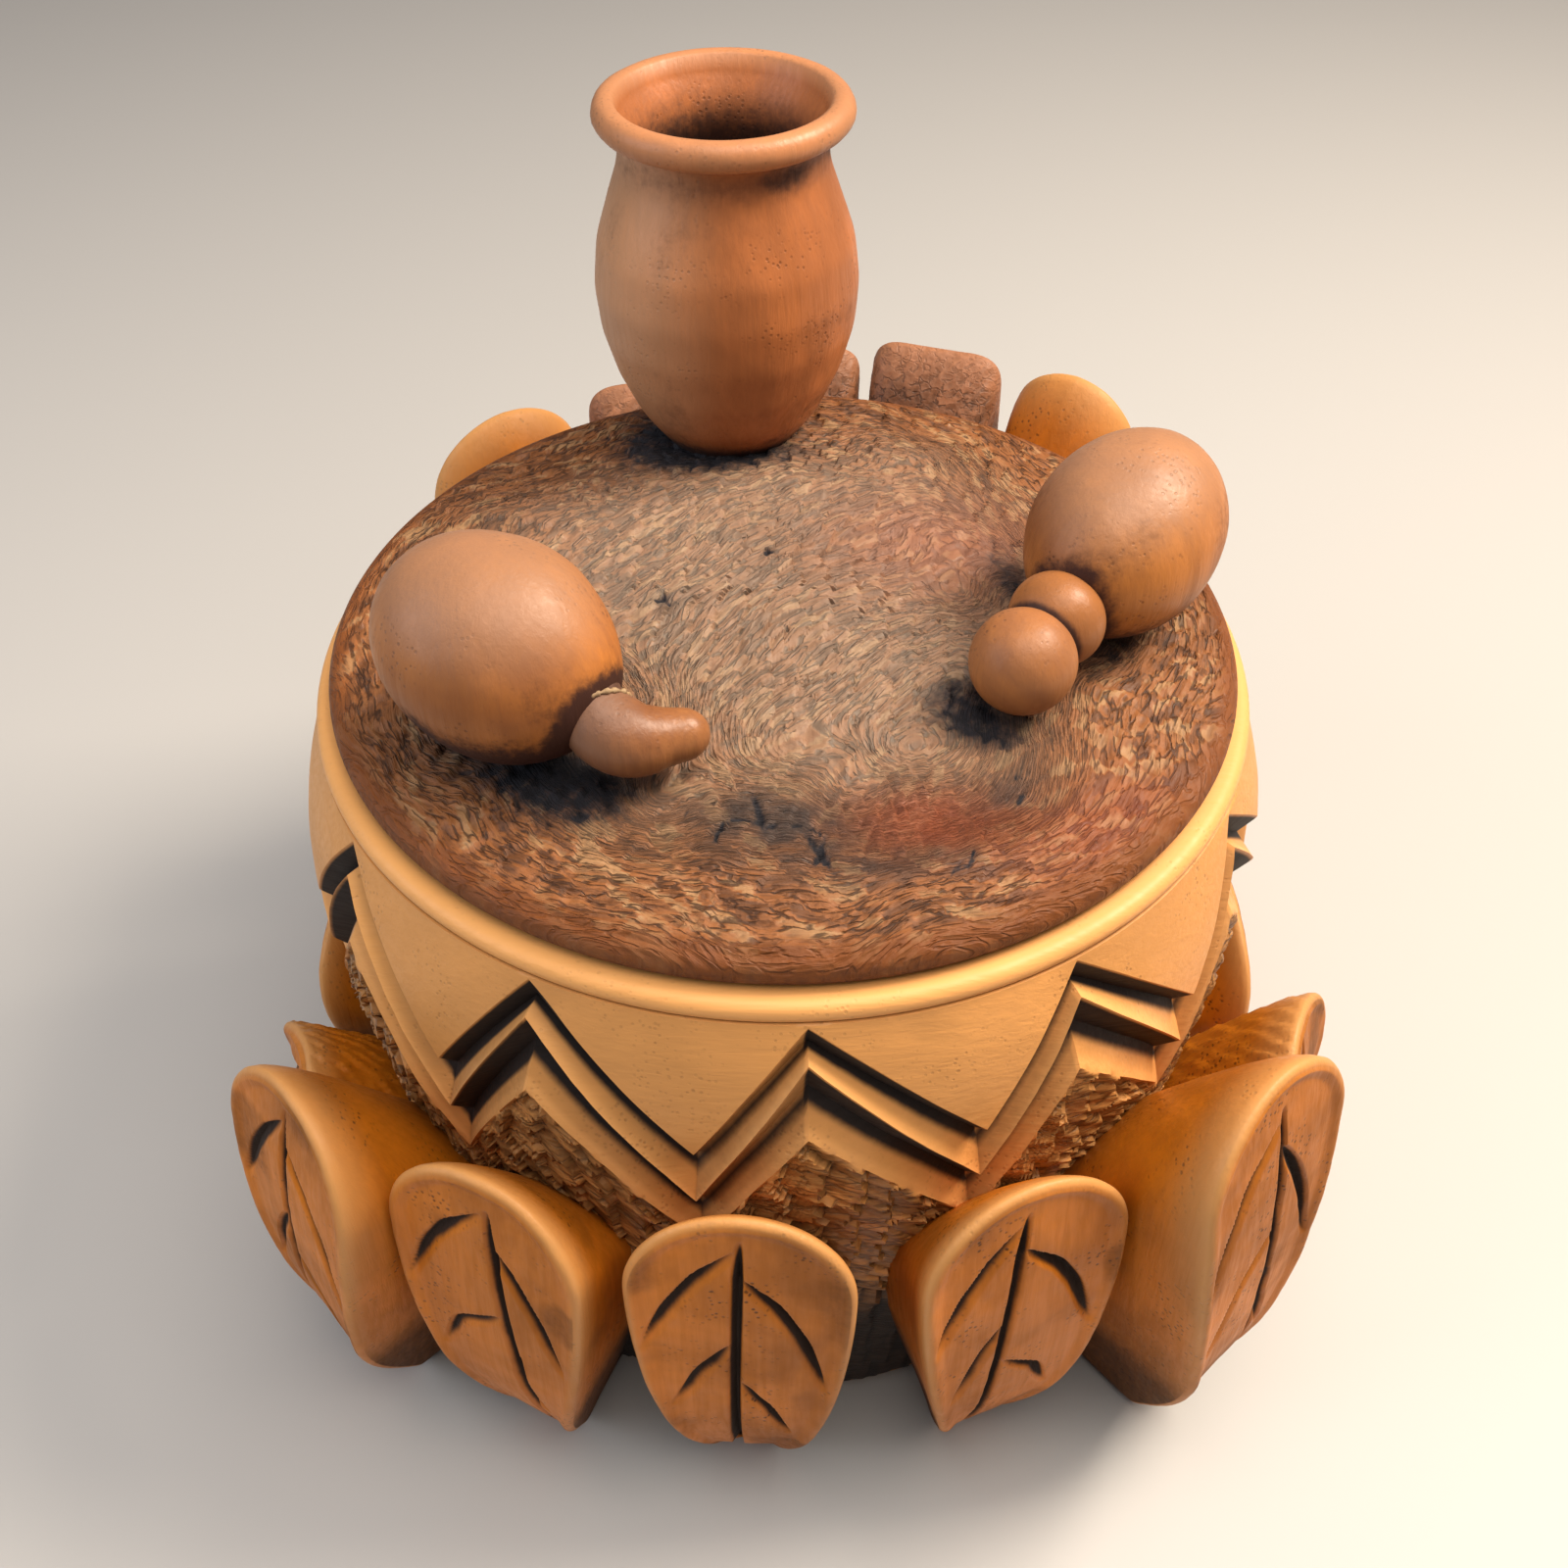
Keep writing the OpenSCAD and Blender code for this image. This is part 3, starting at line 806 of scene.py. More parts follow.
def lid_strokes(flat, turn, d, bend):
    """Gouge strokes of the lid's top: two sets of rings that run into each other in
    patches, and straight rows in the middle. Gives their height, their own numbers and
    the row distance that the finer strokes follow."""
    swing = noise(flat, 40.0, 23) * 0.10 * smooth_step(8, 40, d)
    chip, tag = strokes(turn + swing, d + bend, lambda r: r, 8.0, 2.2, 24.0, 31)
    second, second_tag = strokes(turn - swing, d - bend + 3, lambda r: r, 4.6, 1.7, -30.0, 32)
    mixed = smooth_step(-0.2, 0.35, noise(flat, 22.0, 24)) * smooth_step(92, 70, d)
    chip = chip * (1 - mixed) + second * mixed
    tag = np.where(mixed > 0.5, second_tag, tag)
    slant, wide_r = 38.0, 200.0
    rows, rows_tag = strokes(flat[..., 0] / wide_r + 2, flat[..., 1] + bend, one_radius(wide_r),
                             6.5, 2.2, slant, 33)
    inner = smooth_step(58, 44, d + 1.6 * bend)
    chip = chip * (1 - inner) + rows * inner
    tag = np.where(inner > 0.5, rows_tag, tag)
    straight = (flat[..., 1] * math.cos(math.radians(slant))
                - flat[..., 0] * math.sin(math.radians(slant)))
    rows_at = d + 1.3 * bend + (straight - d) * smooth_step(84, 40, d + 1.6 * bend)
    return chip, tag, rows_at


def lid_stains(flat):
    """Stains on the lid: the burns beside the jar and the gourds, with the painted shadows
    that these cast on the lid, the knot, the reddish patches and the wiry cracks in the knot.
    Each spot is exp(-(u^2 + v^2)^1.3), with u and v the distances along its two axes in half
    sizes."""
    x, y = flat[..., 0], flat[..., 1]

    def spots(*rows):
        """Sum of spots given by strength, middle, two half sizes and turn in degrees."""
        total = 0
        for strength, at_x, at_y, wide, deep, angle in rows:
            c, s = math.cos(math.radians(angle)), math.sin(math.radians(angle))
            u = (x - at_x) * c + (y - at_y) * s
            v = (y - at_y) * c - (x - at_x) * s
            total = total + strength * np.exp(-((u / wide) ** 2 + (v / deep) ** 2) ** 1.3)
        return total

    jar = (JAR_LOW + JAR_HIGH) / 2
    left, right = middle_mm("left_gourd"), middle_mm("right_gourd")
    ball = middle_mm("right_gourd_ball")
    # burns together with painted cast shadows round the jar and the gourds
    burn_and_shadow = spots(
        (0.95, jar[0] - 15, jar[1] - 10, 17, 16, 0),
        (0.75, jar[0] - 1, jar[1] - 16, 21, 9, 0),
        (1.0, left[0] + 16, left[1] - 17, 13, 9, -15),
        (0.9, left[0] + 2, left[1] - 8, 18, 11, -30),
        (0.15, left[0] - 22, left[1] + 2, 8, 13, 0),
        (1.0, ball[0] - 12, ball[1] - 1, 8, 9, 0),
        (0.9, ball[0] - 6, ball[1] - 9, 9, 6, 0),
        (0.9, right[0] - 22, right[1] + 6, 5, 16, 10),
        (0.6, right[0] - 4, right[1] - 16, 7, 7, 0),
        (0.9, jar[0], jar[1], 20, 20, 0),
    )
    knot = spots((1.6, -2, -73, 16, 7.5, -12), (0.9, -3, 14, 2.2, 2.0, 0),
                 (0.5, -28, -4, 6, 5, 0), (0.9, 26, -82, 17, 4, 12), (0.7, 47, -62, 9, 5, 30))
    knot = knot * (0.65 + 0.5 * noise(flat, 3.4, 27))
    reddish = spots((1, 30, -71, 20, 9, 5), (0.5, 38, 20, 30, 24, 0), (0.6, 66, -70, 22, 12, 40))
    wiry = flat + 2.2 * np.stack([noise(flat, 7.0, 28), noise(flat, 7.0, 29), 0 * x], -1)
    crack = smooth_step(0.12, 0.03, np.abs(noise(wiry, 8.5, 34))) * smooth_step(0.22, 0.5, knot)
    crack = crack + spots((1, -5, -69, 0.8, 5.5, 14), (1, 7, -79, 0.8, 6, 30))
    return burn_and_shadow, knot, reddish, crack


def lid_points(sizes):
    """The lid as a profile carried round the Z axis: a flat underside with its spigot, a
    smooth rounded edge and a low dome whose top is cut by gouge strokes."""
    profile, smooth_rows = lid_profile(sizes)
    points = turned(profile, 640)
    turn = np.arctan2(points[..., 1], points[..., 0]) % (2 * np.pi)
    d = profile[:, :1] + 0 * turn
    flat = np.stack([points[..., 0], points[..., 1], 0 * turn], -1)
    bend = noise(flat, 34.0, 21) * 7.0 + noise(flat, 13.0, 22) * 2.0
    chip, tag, rows_at = lid_strokes(flat, turn, d, bend)
    burn_and_shadow, knot, reddish, crack = lid_stains(flat)
    is_top = np.zeros_like(d)
    is_top[smooth_rows:] = 1
    cut = is_top * smooth_step(102.5, 98.0, d) * (0.3 + 0.7 * smooth_step(0, 6, d))
    swell = 0.5 * noise(flat, 45.0, 25) * is_top * smooth_step(0, 10, d)
    points[..., 2] += cut * (1.7 * chip - 1.2) + swell
    points[..., 2] += 0.30 * noise(flat, 2.6, 26) * cut
    points[..., 2] -= 0.7 * crack * cut
    # real burns with painted cast shadows, and painted shade in the hollows between the strokes
    shade_and_stain = np.clip(0.66 * burn_and_shadow, 0, 0.74) * is_top + cut * (0.45 - chip).clip(0, 1)
    # painted shade on the underside towards the edge
    shade_under_edge = (1 - is_top) * smooth_step(LID_SUMMIT - 7, POT_TOP, points[..., 2])
    tags = {
        "shade_and_stain": np.clip(shade_and_stain + crack + 0.4 * shade_under_edge, 0, 1),
        # the band at the edge goes to its darker edge tone
        "highlight_and_tone": smooth_step(98.5, 103.0, d),
        "flow": flow_of(flat[..., 0], flat[..., 1], rows_at, 6.6),
        # painted sheen: a greyish tan patch over the middle of the dome
        "middle": smooth_step(92, 35, d + 1.5 * bend) * is_top,
        "chip": tag,
        "knot": np.clip(knot, 0, 1) * is_top,
        "reddish": np.clip(reddish, 0, 1) * is_top,
    }
    return points, tags


def jar_points(sizes):
    """The jar as a turned profile: out along the foot, up the belly, round the rolled
    lip and down inside, with a slow wobble from hand work."""
    low, high = float(JAR_LOW[2]), float(JAR_HIGH[2])
    centre = (JAR_LOW + JAR_HIGH) / 2
    foot = high - sizes.jar_height
    belly, lip = sizes.jar_belly, sizes.jar_lip
    outer = [(0, low - foot), (15, low - foot), (17.4, 0.5), (20, 4), (24.2, 10), (29.2, 21),
             (belly - 0.8, 32), (belly, 43), (belly - 1.2, 54), (belly - 4.6, 64),
             (belly - 7.4, 72), (25.0, 77.5), (25.6, 80.5), (27.6, 82)]
    roll = [(lip - 3.4 + 3.4 * math.cos(a), sizes.jar_height - 3.6 + 3.6 * math.sin(a))
            for a in np.linspace(-1.2, 2.2, 12)]
    inside = [(24.6, 84), (21.5, 79), (20.3, 74), (22.5, 65), (26.5, 50), (26.8, 36),
              (20, 22), (12, 14.4), (0, 14)]
    outer = rounded_line(outer, 0.9, 5)
    profile = np.concatenate([outer, np.array(roll), rounded_line(inside, 1.6, 4)])
    points = turned(profile, 220)
    swell = 1 + 0.012 * noise(points, 22.0, 41) + 0.003 * noise(points, 6.0, 42)
    points[..., :2] *= swell[..., None]
    z = points[..., 2].copy()
    turn = np.arctan2(points[..., 1], points[..., 0])
    side = np.cos(turn - math.radians(200))
    outside, hollow = np.zeros_like(z), np.zeros_like(z)
    outside[:len(outer)] = 1
    hollow[len(outer) + len(roll):] = 1
    on_lip = (1 - outside) * (1 - hollow)
    base = smooth_step(10, 0, z) * outside
    # painted shade in a ring under the lip
    neck = np.exp(-((z - 76) / 5) ** 2)
    stain = 0.30 * smooth_step(0.0, 0.7, noise(points, 13.0, 44)) * outside
    spots = smooth_step(0.25, 0.75, noise(points, 9.0, 43)) * smooth_step(24, 4, z) * outside
    # painted shade deep inside the hollow
    shade_inside = hollow * smooth_step(89, 66, z)
    # painted light: the side that faces the fill light is made paler
    painted_lit_side = smooth_step(0.25, 0.95, side) * outside * smooth_step(2, 20, z)
    tags = {
        "shade_and_stain": np.clip(0.9 * base + 0.45 * spots + 0.34 * outside * neck + stain
                         + 0.8 * shade_inside, 0, 1),
        "highlight_and_tone": 0.62 * painted_lit_side + 0.32 * on_lip,
    }
    points += np.array([centre[0], centre[1], foot])
    return points, tags


def egg_points(centre, direction, half, radius, pinch, seed, rows=90, columns=140):
    """An egg along a direction: half the length times the cosine of the row's angle, and
    the radius times its sine, eased in towards the neck by `pinch`."""
    axes = facing_axes(direction)
    polar = np.linspace(np.pi, 0, rows)[:, None]
    turn = np.arange(columns) / columns * 2 * np.pi
    along = half * np.cos(polar) + 0 * turn
    around = radius * np.sin(polar) * (1 - pinch * np.clip(np.cos(polar), 0, 1) ** 2)
    local = np.stack([around * np.cos(turn), around * np.sin(turn), along], -1)
    lumps = 0.012 * noise(local, 15.0, seed) + 0.004 * noise(local, 5.0, seed + 1)
    local = local * (1 + lumps)[..., None]
    return local @ axes.T + np.asarray(centre), along


def horn_points(root, direction, sizes):
    """The horn: a tube carried along a straight root, a quarter bend and a straight tip.
    Its radius swells a little past the root and closes in a round end."""
    bend, sweep = sizes.horn_bend, math.radians(sizes.horn_turn)
    rows = 74
    straight = 7.0
    tip = sizes.horn_tip
    total = bend * sweep + straight + tip
    s = np.concatenate([[-3.0], np.linspace(-2.9, total, rows)])
    theta = np.clip(s, 0, bend * sweep) / bend
    extra = np.clip(s - bend * sweep, 0, None)
    px = bend * (1 - np.cos(theta)) + extra * math.sin(sweep)
    pz = bend * np.sin(theta) + extra * math.cos(sweep) + np.clip(s, None, 0)
    share = np.clip(s / total, 0, 1)
    radius = sizes.horn_root * (1 + 0.10 * np.sin(np.pi * np.clip(share * 1.5, 0, 1)))
    radius = radius + (sizes.horn_tip - sizes.horn_root) * smooth_step(0.3, 0.95, share)
    end = np.clip((s - (total - tip)) / tip, 0, 1)
    radius = radius * np.sqrt(np.clip(1 - end ** 2, 0, 1))
    radius[0] = 0
    turn = np.arange(90) / 90 * 2 * np.pi
    side = np.stack([np.cos(theta), 0 * theta, -np.sin(theta)], -1)
    across = np.array([0.0, 1.0, 0.0])
    path = np.stack([px, 0 * px, pz], -1)
    ring = (side[:, None] * np.cos(turn)[None, :, None]
            + across * np.sin(turn)[None, :, None])
    points = path[:, None] + ring * radius[:, None, None]
    quarter = np.array([[0, -1, 0], [1, 0, 0], [0, 0, 1.0]])
    points = points @ quarter.T @ facing_axes(direction).T + np.asarray(root)
    return points, share[:, None] + 0 * turn


def glue_points(root, direction, radius, thick, seed):
    """A crumbly ring of glue: a small round carried round the joint, its thickness
    broken up by a fine noise."""
    around = np.arange(160) / 160 * 2 * np.pi
    small = np.arange(14) / 14 * 2 * np.pi
    key = np.stack([np.cos(around) * 9, np.sin(around) * 9, 0 * around], -1)
    lump = thick * (0.75 + 0.55 * noise(key, 1.3, seed) + 0.35 * noise(key, 0.5, seed + 1))
    lump = np.clip(lump, 0.25, None)
    r = radius + lump[:, None] * np.cos(small)
    h = lump[:, None] * np.sin(small) * 0.8
    local = np.stack([r * np.cos(around)[:, None], r * np.sin(around)[:, None], h], -1)
    local = np.concatenate([local, local[:1]])
    return local @ facing_axes(direction).T + np.asarray(root)


def petal_facts(number):
    """Reads a CAD petal: the way it faces, which is the way to the middle of its surface,
    how far out it stands, its top and half its width."""
    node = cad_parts[petal_name(number)]
    co = np.zeros(len(node.data.vertices) * 3, np.float32)
    node.data.vertices.foreach_get("co", co)
    co = co.reshape(-1, 3) / MM
    node.data.calc_loop_triangles()
    ids = np.zeros(len(node.data.loop_triangles) * 3, np.int32)
    node.data.loop_triangles.foreach_get("vertices", ids)
    corners = co[ids.reshape(-1, 3)]
    sides = np.cross(corners[:, 1] - corners[:, 0], corners[:, 2] - corners[:, 0])
    area = np.linalg.norm(sides, axis=1)
    middle = (area[:, None] * corners.mean(1)).sum(0) / area.sum()
    out = np.array([middle[0], middle[1], 0.0]) / math.hypot(middle[0], middle[1])
    across = np.array([-out[1], out[0], 0.0])
    reach, top, half = (co @ out).max(), co[:, 2].max(), abs(co @ across).max()
    return out, across, float(reach), float(top), float(half)


def petal_points(number, sizes):
    """A petal as loops round its outline: first the shank from inside the pot's wall out
    to the lip, then the rounded lip, then the face in to its middle line.

    The outline is a round or flat top over straight sides that narrow to the foot. Every
    outline point runs inwards to a point at its own height on the middle line, held clear
    of both ends. The face stands out by the distance for its height, is dished inside the
    lip, and is cut by the middle vein and two curved veins a side."""
    out, across, reach, top, half = petal_facts(number)
    half = half + 0.2
    flat_top = number in FLAT_TOPPED
    corner = 7.0 if flat_top else half
    fine = number in FINE_PETALS
    count = 132 if fine else 96  # points along one side of the outline
    foot = sizes.petal_foot

    # right-hand outline from the foot's middle to the top's middle, evenly stepped
    shoulder = top - corner
    arc = np.linspace(0, np.pi / 2, 60)
    low_arc = np.linspace(-np.pi / 2, -0.35, 14)
    knots = [np.stack([np.zeros(1), np.full(1, 0.8)], -1)]
    knots.append(np.stack([foot - 6 + 6 * np.cos(low_arc), 6.8 + 6 * np.sin(low_arc)], -1))
    climb = np.linspace(0.06, 1, 24)
    knots.append(np.stack([foot + (half - foot) * np.sin(np.pi / 2 * climb),
                           7.0 + (shoulder - 7.0) * climb], -1))
    knots.append(np.stack([half - corner + corner * np.cos(arc),
                           shoulder + corner * np.sin(arc)], -1))
    if flat_top:
        knots.append(np.array([[0.0, top]]))
    knots = np.concatenate(knots)
    run = np.concatenate([[0], np.cumsum(np.hypot(*np.diff(knots, axis=0).T))])
    even = np.linspace(0, run[-1], count * 2 + 1)
    rx = np.interp(even, run, knots[:, 0])
    rz = np.interp(even, run, knots[:, 1])
    for _ in range(OUTLINE_ROUNDS):
        rx[1:-1] = (rx[:-2] + 2 * rx[1:-1] + rx[2:]) / 4
        rz[1:-1] = (rz[:-2] + 2 * rz[1:-1] + rz[2:]) / 4
    rx[0] = rx[-1] = 0.0
    ox = np.concatenate([rx, -rx[-2:0:-1]])
    oz = np.concatenate([rz, rz[-2:0:-1]])

    lean = VEIN_LEAN[number - 1]
    spine_low, spine_high = 9.0, top - min(half, corner + 4) * 0.9
    sz = np.clip(oz, spine_low, spine_high)

    def spine_x(z):
        return lean * (1 - np.clip(z / top, 0, 1)) ** 0.9

    lip = sizes.petal_lip
    room = np.interp(sz, rz, rx)
    room = np.maximum(room - 2 * lip, 0.3 * room)
    sx = np.clip(spine_x(sz), -room, room)
    span = np.hypot(ox - sx, oz - sz)

    widest = 60  # height at which the face stands out furthest

    def stand(z):
        """Distance of the face from the pot's axis at a height."""
        low = reach - sizes.petal_lean * np.abs(1 - np.clip(z, 0, widest) / widest) ** 2.2
        above = np.clip(z - widest, 0, None) / max(top - widest, 8)
        high = reach - (4 + 0.25 * (reach - 134)) * above ** 2
        return np.where(z < widest, low, high)

    # loops of points, with the inset of each from the outline: below zero on the shank,
    # down to -31 at the wall and about -99 inside it
    back_top = max(top - (reach - 117) - 14, 54.0)
    loops_x, loops_z, loops_r, inset = [], [], [], []

    def loop(x, z, r, e):
        loops_x.append(x)
        loops_z.append(z)
        loops_r.append(r)
        inset.append(e + 0 * x)

    wall_z = 2.0 + (oz / top) * (back_top - 2.0)
    wall_r = wall_radius(wall_z) - 5.0
    loop(0 * ox, 0 * oz + (back_top + 2) / 2, 0 * ox + wall_r.min(), -99.0)
    loop(ox * 0.35, wall_z * 0.7 + (back_top + 2) * 0.15, 0 * ox + wall_r.min(), -98.0)
    gouged = number in GOUGED_SHANKS
    steps = np.linspace(1, 0, 26 if gouged else 18)
    rim_r = stand(oz) - lip
    upper = smooth_step(0.35, 0.9, oz / top)
    for q in steps:
        narrow = 1 - (0.12 if flat_top else 0.20) * smooth_step(0, 1, q) ** 0.9
        x = ox * (narrow - 0.05 * smooth_step(0.02, 0.35, q) * (1 - q))
        sag = (1.0 if flat_top else 1.6) * np.sin(np.pi * q) * upper
        z = oz + (wall_z - oz) * q ** 1.35 - sag
        r = rim_r + (wall_r - rim_r) * q
        loop(x, z, r, -1.0 - 30 * q)
    for a in np.linspace(0, np.pi / 2, 7)[1:]:
        e = lip * (1 - math.cos(a))
        share = np.clip(e / span, 0, 0.9)
        loop(ox + (sx - ox) * share, oz + (sz - oz) * share,
             stand(oz) - lip + lip * math.sin(a), e)
    inner = np.concatenate([[2.2, 2.8, 3.5, 4.3], np.linspace(5.0, 30, 44 if fine else 30)])
    edge = np.minimum(lip / span, 0.9)
    for e in inner:
        share = edge + (1 - edge) * np.clip((e - lip) / (inner[-1] - lip), 0, 1)
        if e == inner[-1]:
            share = 1 + 0 * share
        x = ox + (sx - ox) * share
        z = oz + (sz - oz) * share
        loop(x, z, stand(z), span * share)
    x, z = np.array(loops_x), np.array(loops_z)
    r, e = np.array(loops_r), np.array(inset)

    on_face = e > lip * 0.6
    dish = sizes.petal_dish * smooth_step(lip, lip + 3.2, e) * on_face
    cut = np.zeros_like(x)
    tall = top - 4.0
    wobble = lattice(np.int64(number), np.arange(12), np.int64(3), 77) - 0.5

    def at(px, pz):
        """A place on the face from shares of its half width and height."""
        return px * half, pz * tall

    # each vein: its knots, the widths of its gentle and steep sides, its depth and the
    # share of its length that tapers
    veins = [
        ([(spine_x(0.94 * tall) + 0.6, (0.945 + 0.03 * wobble[0]) * top),
          (spine_x(0.5 * top), 0.5 * top), (spine_x(0.06 * top), 0.03 * top)],
         2.1, 1.0, 3.4, 0.12),
        ([(spine_x(0.84 * top) + 0.8, (0.85 + 0.03 * wobble[1]) * top), at(0.34, 0.80),
          at(0.57, 0.705), at(0.76, 0.55 + 0.04 * wobble[2])], 3.0, 1.0, 3.2, 0.28),
        ([(spine_x(0.51 * top) + 0.8, (0.52 + 0.03 * wobble[3]) * top), at(0.26, 0.455),
          at(0.44, 0.33 + 0.03 * wobble[4])], 2.6, 1.0, 2.8, 0.35),
        ([(spine_x(0.92 * top) - 0.8, (0.915 + 0.02 * wobble[5]) * top), at(-0.40, 0.875),
          at(-0.66, 0.785), at(-0.90, 0.64 + 0.04 * wobble[6])], 3.4, 0.9, 2.0, 0.3),
        ([(spine_x(0.66 * top) - 0.8, (0.65 + 0.03 * wobble[7]) * top), at(-0.40, 0.58),
          at(-0.64, 0.43 + 0.03 * wobble[8])], 3.0, 0.9, 1.7, 0.3),
    ]
    for n, (knots_v, gentle, steep, deep, taper) in enumerate(veins):
        gap, share = near_curve(x, z, knots_v)
        if n in (3, 4):
            gap = -gap
        wide = np.where(gap > 0, steep, gentle)
        ends = np.clip(np.minimum(share, 1 - share) / taper, 0.0, 1) ** 0.6
        if n == 0:
            ends = np.clip(share / taper, 0, 1) ** 0.7
        trim = smooth_step(0.6, 2.2, e) if n == 0 else smooth_step(lip * 0.8, lip + 1.2, e)
        trim = trim * smooth_step(1.5, 5.0, z)
        groove = deep * np.clip(1 - np.abs(gap) / (wide * (0.45 + 0.55 * ends)), 0, 1)
        cut = np.maximum(cut, groove * ends * on_face * trim)
    r = r - dish - cut
    up = np.array([0, 0, 1.0])
    here = r[..., None] * out + x[..., None] * across + z[..., None] * up
    ripple = 0.30 * noise(here, 11.0, number) + 0.12 * noise(here, 4.0, number + 40)
    shank = e < 0
    if gouged:
        level = np.clip(-e, 0, 31)
        side = np.unwrap(np.arctan2(x, 0 * x + 40)) % (2 * np.pi)
        chip, tag = strokes(side + z * 0.02, level + z * 0.25, one_radius(60.0), 7.0, 2.6, 8.0,
                            90 + number)
        strength = shank * smooth_step(0.5, 3.0, -e) * (e > -40) * smooth_step(0.3, 0.5, z / top)
    else:
        chip, tag = 0.5 + 0 * x, 0.5 + 0 * x
        strength = 0 * x
    lift = strength * (1.5 * chip - 1.0)
    away = np.stack([x * 0.6, 0 * x, z - back_top * 0.55], -1)
    away = away / np.maximum(np.linalg.norm(away, axis=-1, keepdims=True), 1)
    bulk = here + ripple[..., None] * (out * np.where(shank, 0.2, 0.8)[..., None])
    bulk = bulk + lift[..., None] * (away[..., :1] * across + away[..., 2:] * up)
    bulk[..., 2] = np.maximum(bulk[..., 2], 0.35)  # just clear of the table
    # the two sides meet on the same points of the middle line
    bulk[-1, 2 * count + 1:] = bulk[-1, 1:2 * count][::-1]
    # painted highlight along the lip, stronger towards the top
    rim_highlight = np.exp(-((e - 0.1) / (1.1 if flat_top else 1.4)) ** 2)
    rim_highlight = rim_highlight * (0.4 + 0.6 * smooth_step(0.3, 0.75, z / top))
    # painted highlight on the shank behind the lip, stronger towards the top
    shank_highlight = smooth_step(-11, -2, e) * shank * (0.25 + 0.5 * smooth_step(0.45, 0.9, z / top))
    # painted shade in the vein grooves and in the hollows of the gouged shanks
    shade_and_stain = np.clip((cut - 0.25) / 1.3, 0, 1)
    shade_and_stain = shade_and_stain + strength * 0.5 * (0.5 - chip).clip(0, 1)
    # painted shade at the shank's root and low down between the petals
    root_shade = smooth_step(-20, -31, e) * 0.3 + smooth_step(64, 26, z) * shank * 0.6
    mottle = 0.42 * smooth_step(0.0, 0.7, noise(here, 15.0, number + 70)) * on_face
    tags = {
        "shade_and_stain": np.clip(shade_and_stain + root_shade + mottle, 0, 1),
        "highlight_and_tone": np.clip(rim_highlight + shank_highlight, 0, 1),
        "chip": tag,
    }
    return bulk, tags


# ---------------------------------------------------------------- settings

def size_property(name, description, default):
    """A size with its name and description in the panel."""
    return bpy.props.FloatProperty(name=name, description=description, default=default)


class LeafPotSizes(bpy.types.PropertyGroup):
    """Sizes in millimetres that the visible pieces are carved to."""

    teeth: bpy.props.IntProperty(
        name="Zigzag teeth", description="Number of teeth round the wall", default=12,
        min=8, max=16)
    tooth_lean: size_property(
        "Tooth lean", "How far the points lean to the right, in degrees", 3.5)
    leg_bow: size_property(
        "Leg bow", "Rise of the middle of each zigzag leg, in millimetres", 1.8)
    cut_depth: size_property("Zigzag depth", "Depth of the zigzag cuts in millimetres", 4.6)
    ring_radius: size_property(
        "Ring radius", "Outside radius of the ring under the lid, in millimetres", 109.0)
    cavity_radius: size_property(
        "Cavity radius", "Radius of the round cavity in millimetres", 92.0)
    floor: size_property("Floor height", "Height of the cavity's floor in millimetres", 24.0)
    spigot_radius: size_property(
        "Spigot radius", "Radius of the lid's spigot in millimetres", 90.5)
    dome_rise: size_property("Dome rise", "Rise of the lid from its edge in millimetres", 10.0)
    petal_foot: size_property(
        "Petal foot", "Half width of a petal's foot in millimetres", 8.5)
    petal_lean: size_property(
        "Petal lean", "How far a petal's foot tucks in, in millimetres", 20.0)
    petal_lip: size_property("Petal lip", "Rounding of a petal's lip in millimetres", 1.7)
    petal_dish: size_property("Petal dish", "How deep the face is dished, in millimetres", 1.0)
    jar_height: size_property("Jar height", "Height of the jar in millimetres", 88.0)
    jar_belly: size_property("Jar belly", "Belly radius of the jar in millimetres", 33.0)
    jar_lip: size_property("Jar lip", "Radius of the rolled lip in millimetres", 31.0)
    horn_root: size_property(
        "Horn root", "Radius of the horn at its root in millimetres", 7.4)
    horn_tip: size_property("Horn tip", "Radius of the horn near its tip in millimetres", 5.2)
    horn_bend: size_property("Horn bend", "Radius of the horn's bend in millimetres", 11.0)
    horn_turn: size_property("Horn turn", "How far the horn turns, in degrees", 80.0)


def colour_property(name, description, default):
    """A colour with its name and description in the panel."""
    return bpy.props.FloatVectorProperty(
        name=name, description=description, default=default, size=3, min=0.0, max=1.0,
        subtype="COLOR")


class LeafPotWoods(bpy.types.PropertyGroup):
    """Colours of the woods."""

    field: colour_property("Smooth wall", "Light wood of the smooth wall", (0.68, 0.300, 0.084))
    petal: colour_property("Petals", "Orange brown of the petals", (0.52, 0.148, 0.006))
    # colour of the painted highlights on petal rims and shanks and on the pot's ribs and ring
    rim: colour_property("Petal rims", "Light wood of the worn rims", (0.88, 0.42, 0.135))
    lid: colour_property("Lid", "Reddish brown of the lid", (0.21, 0.078, 0.028))
    jar: colour_property("Jar", "Reddish brown of the jar", (0.42, 0.134, 0.040))
    gourd: colour_property("Gourds", "Mottled tan of the gourds", (0.40, 0.135, 0.024))
    back: colour_property(
        "Back petals", "Dark brown of the flat-topped petals", (0.20, 0.083, 0.039))
    # near black of the painted shade in cuts, gaps and hollows and of real burns
    cut: colour_property("Cuts", "Near black of the cuts and burns", (0.014, 0.008, 0.006))


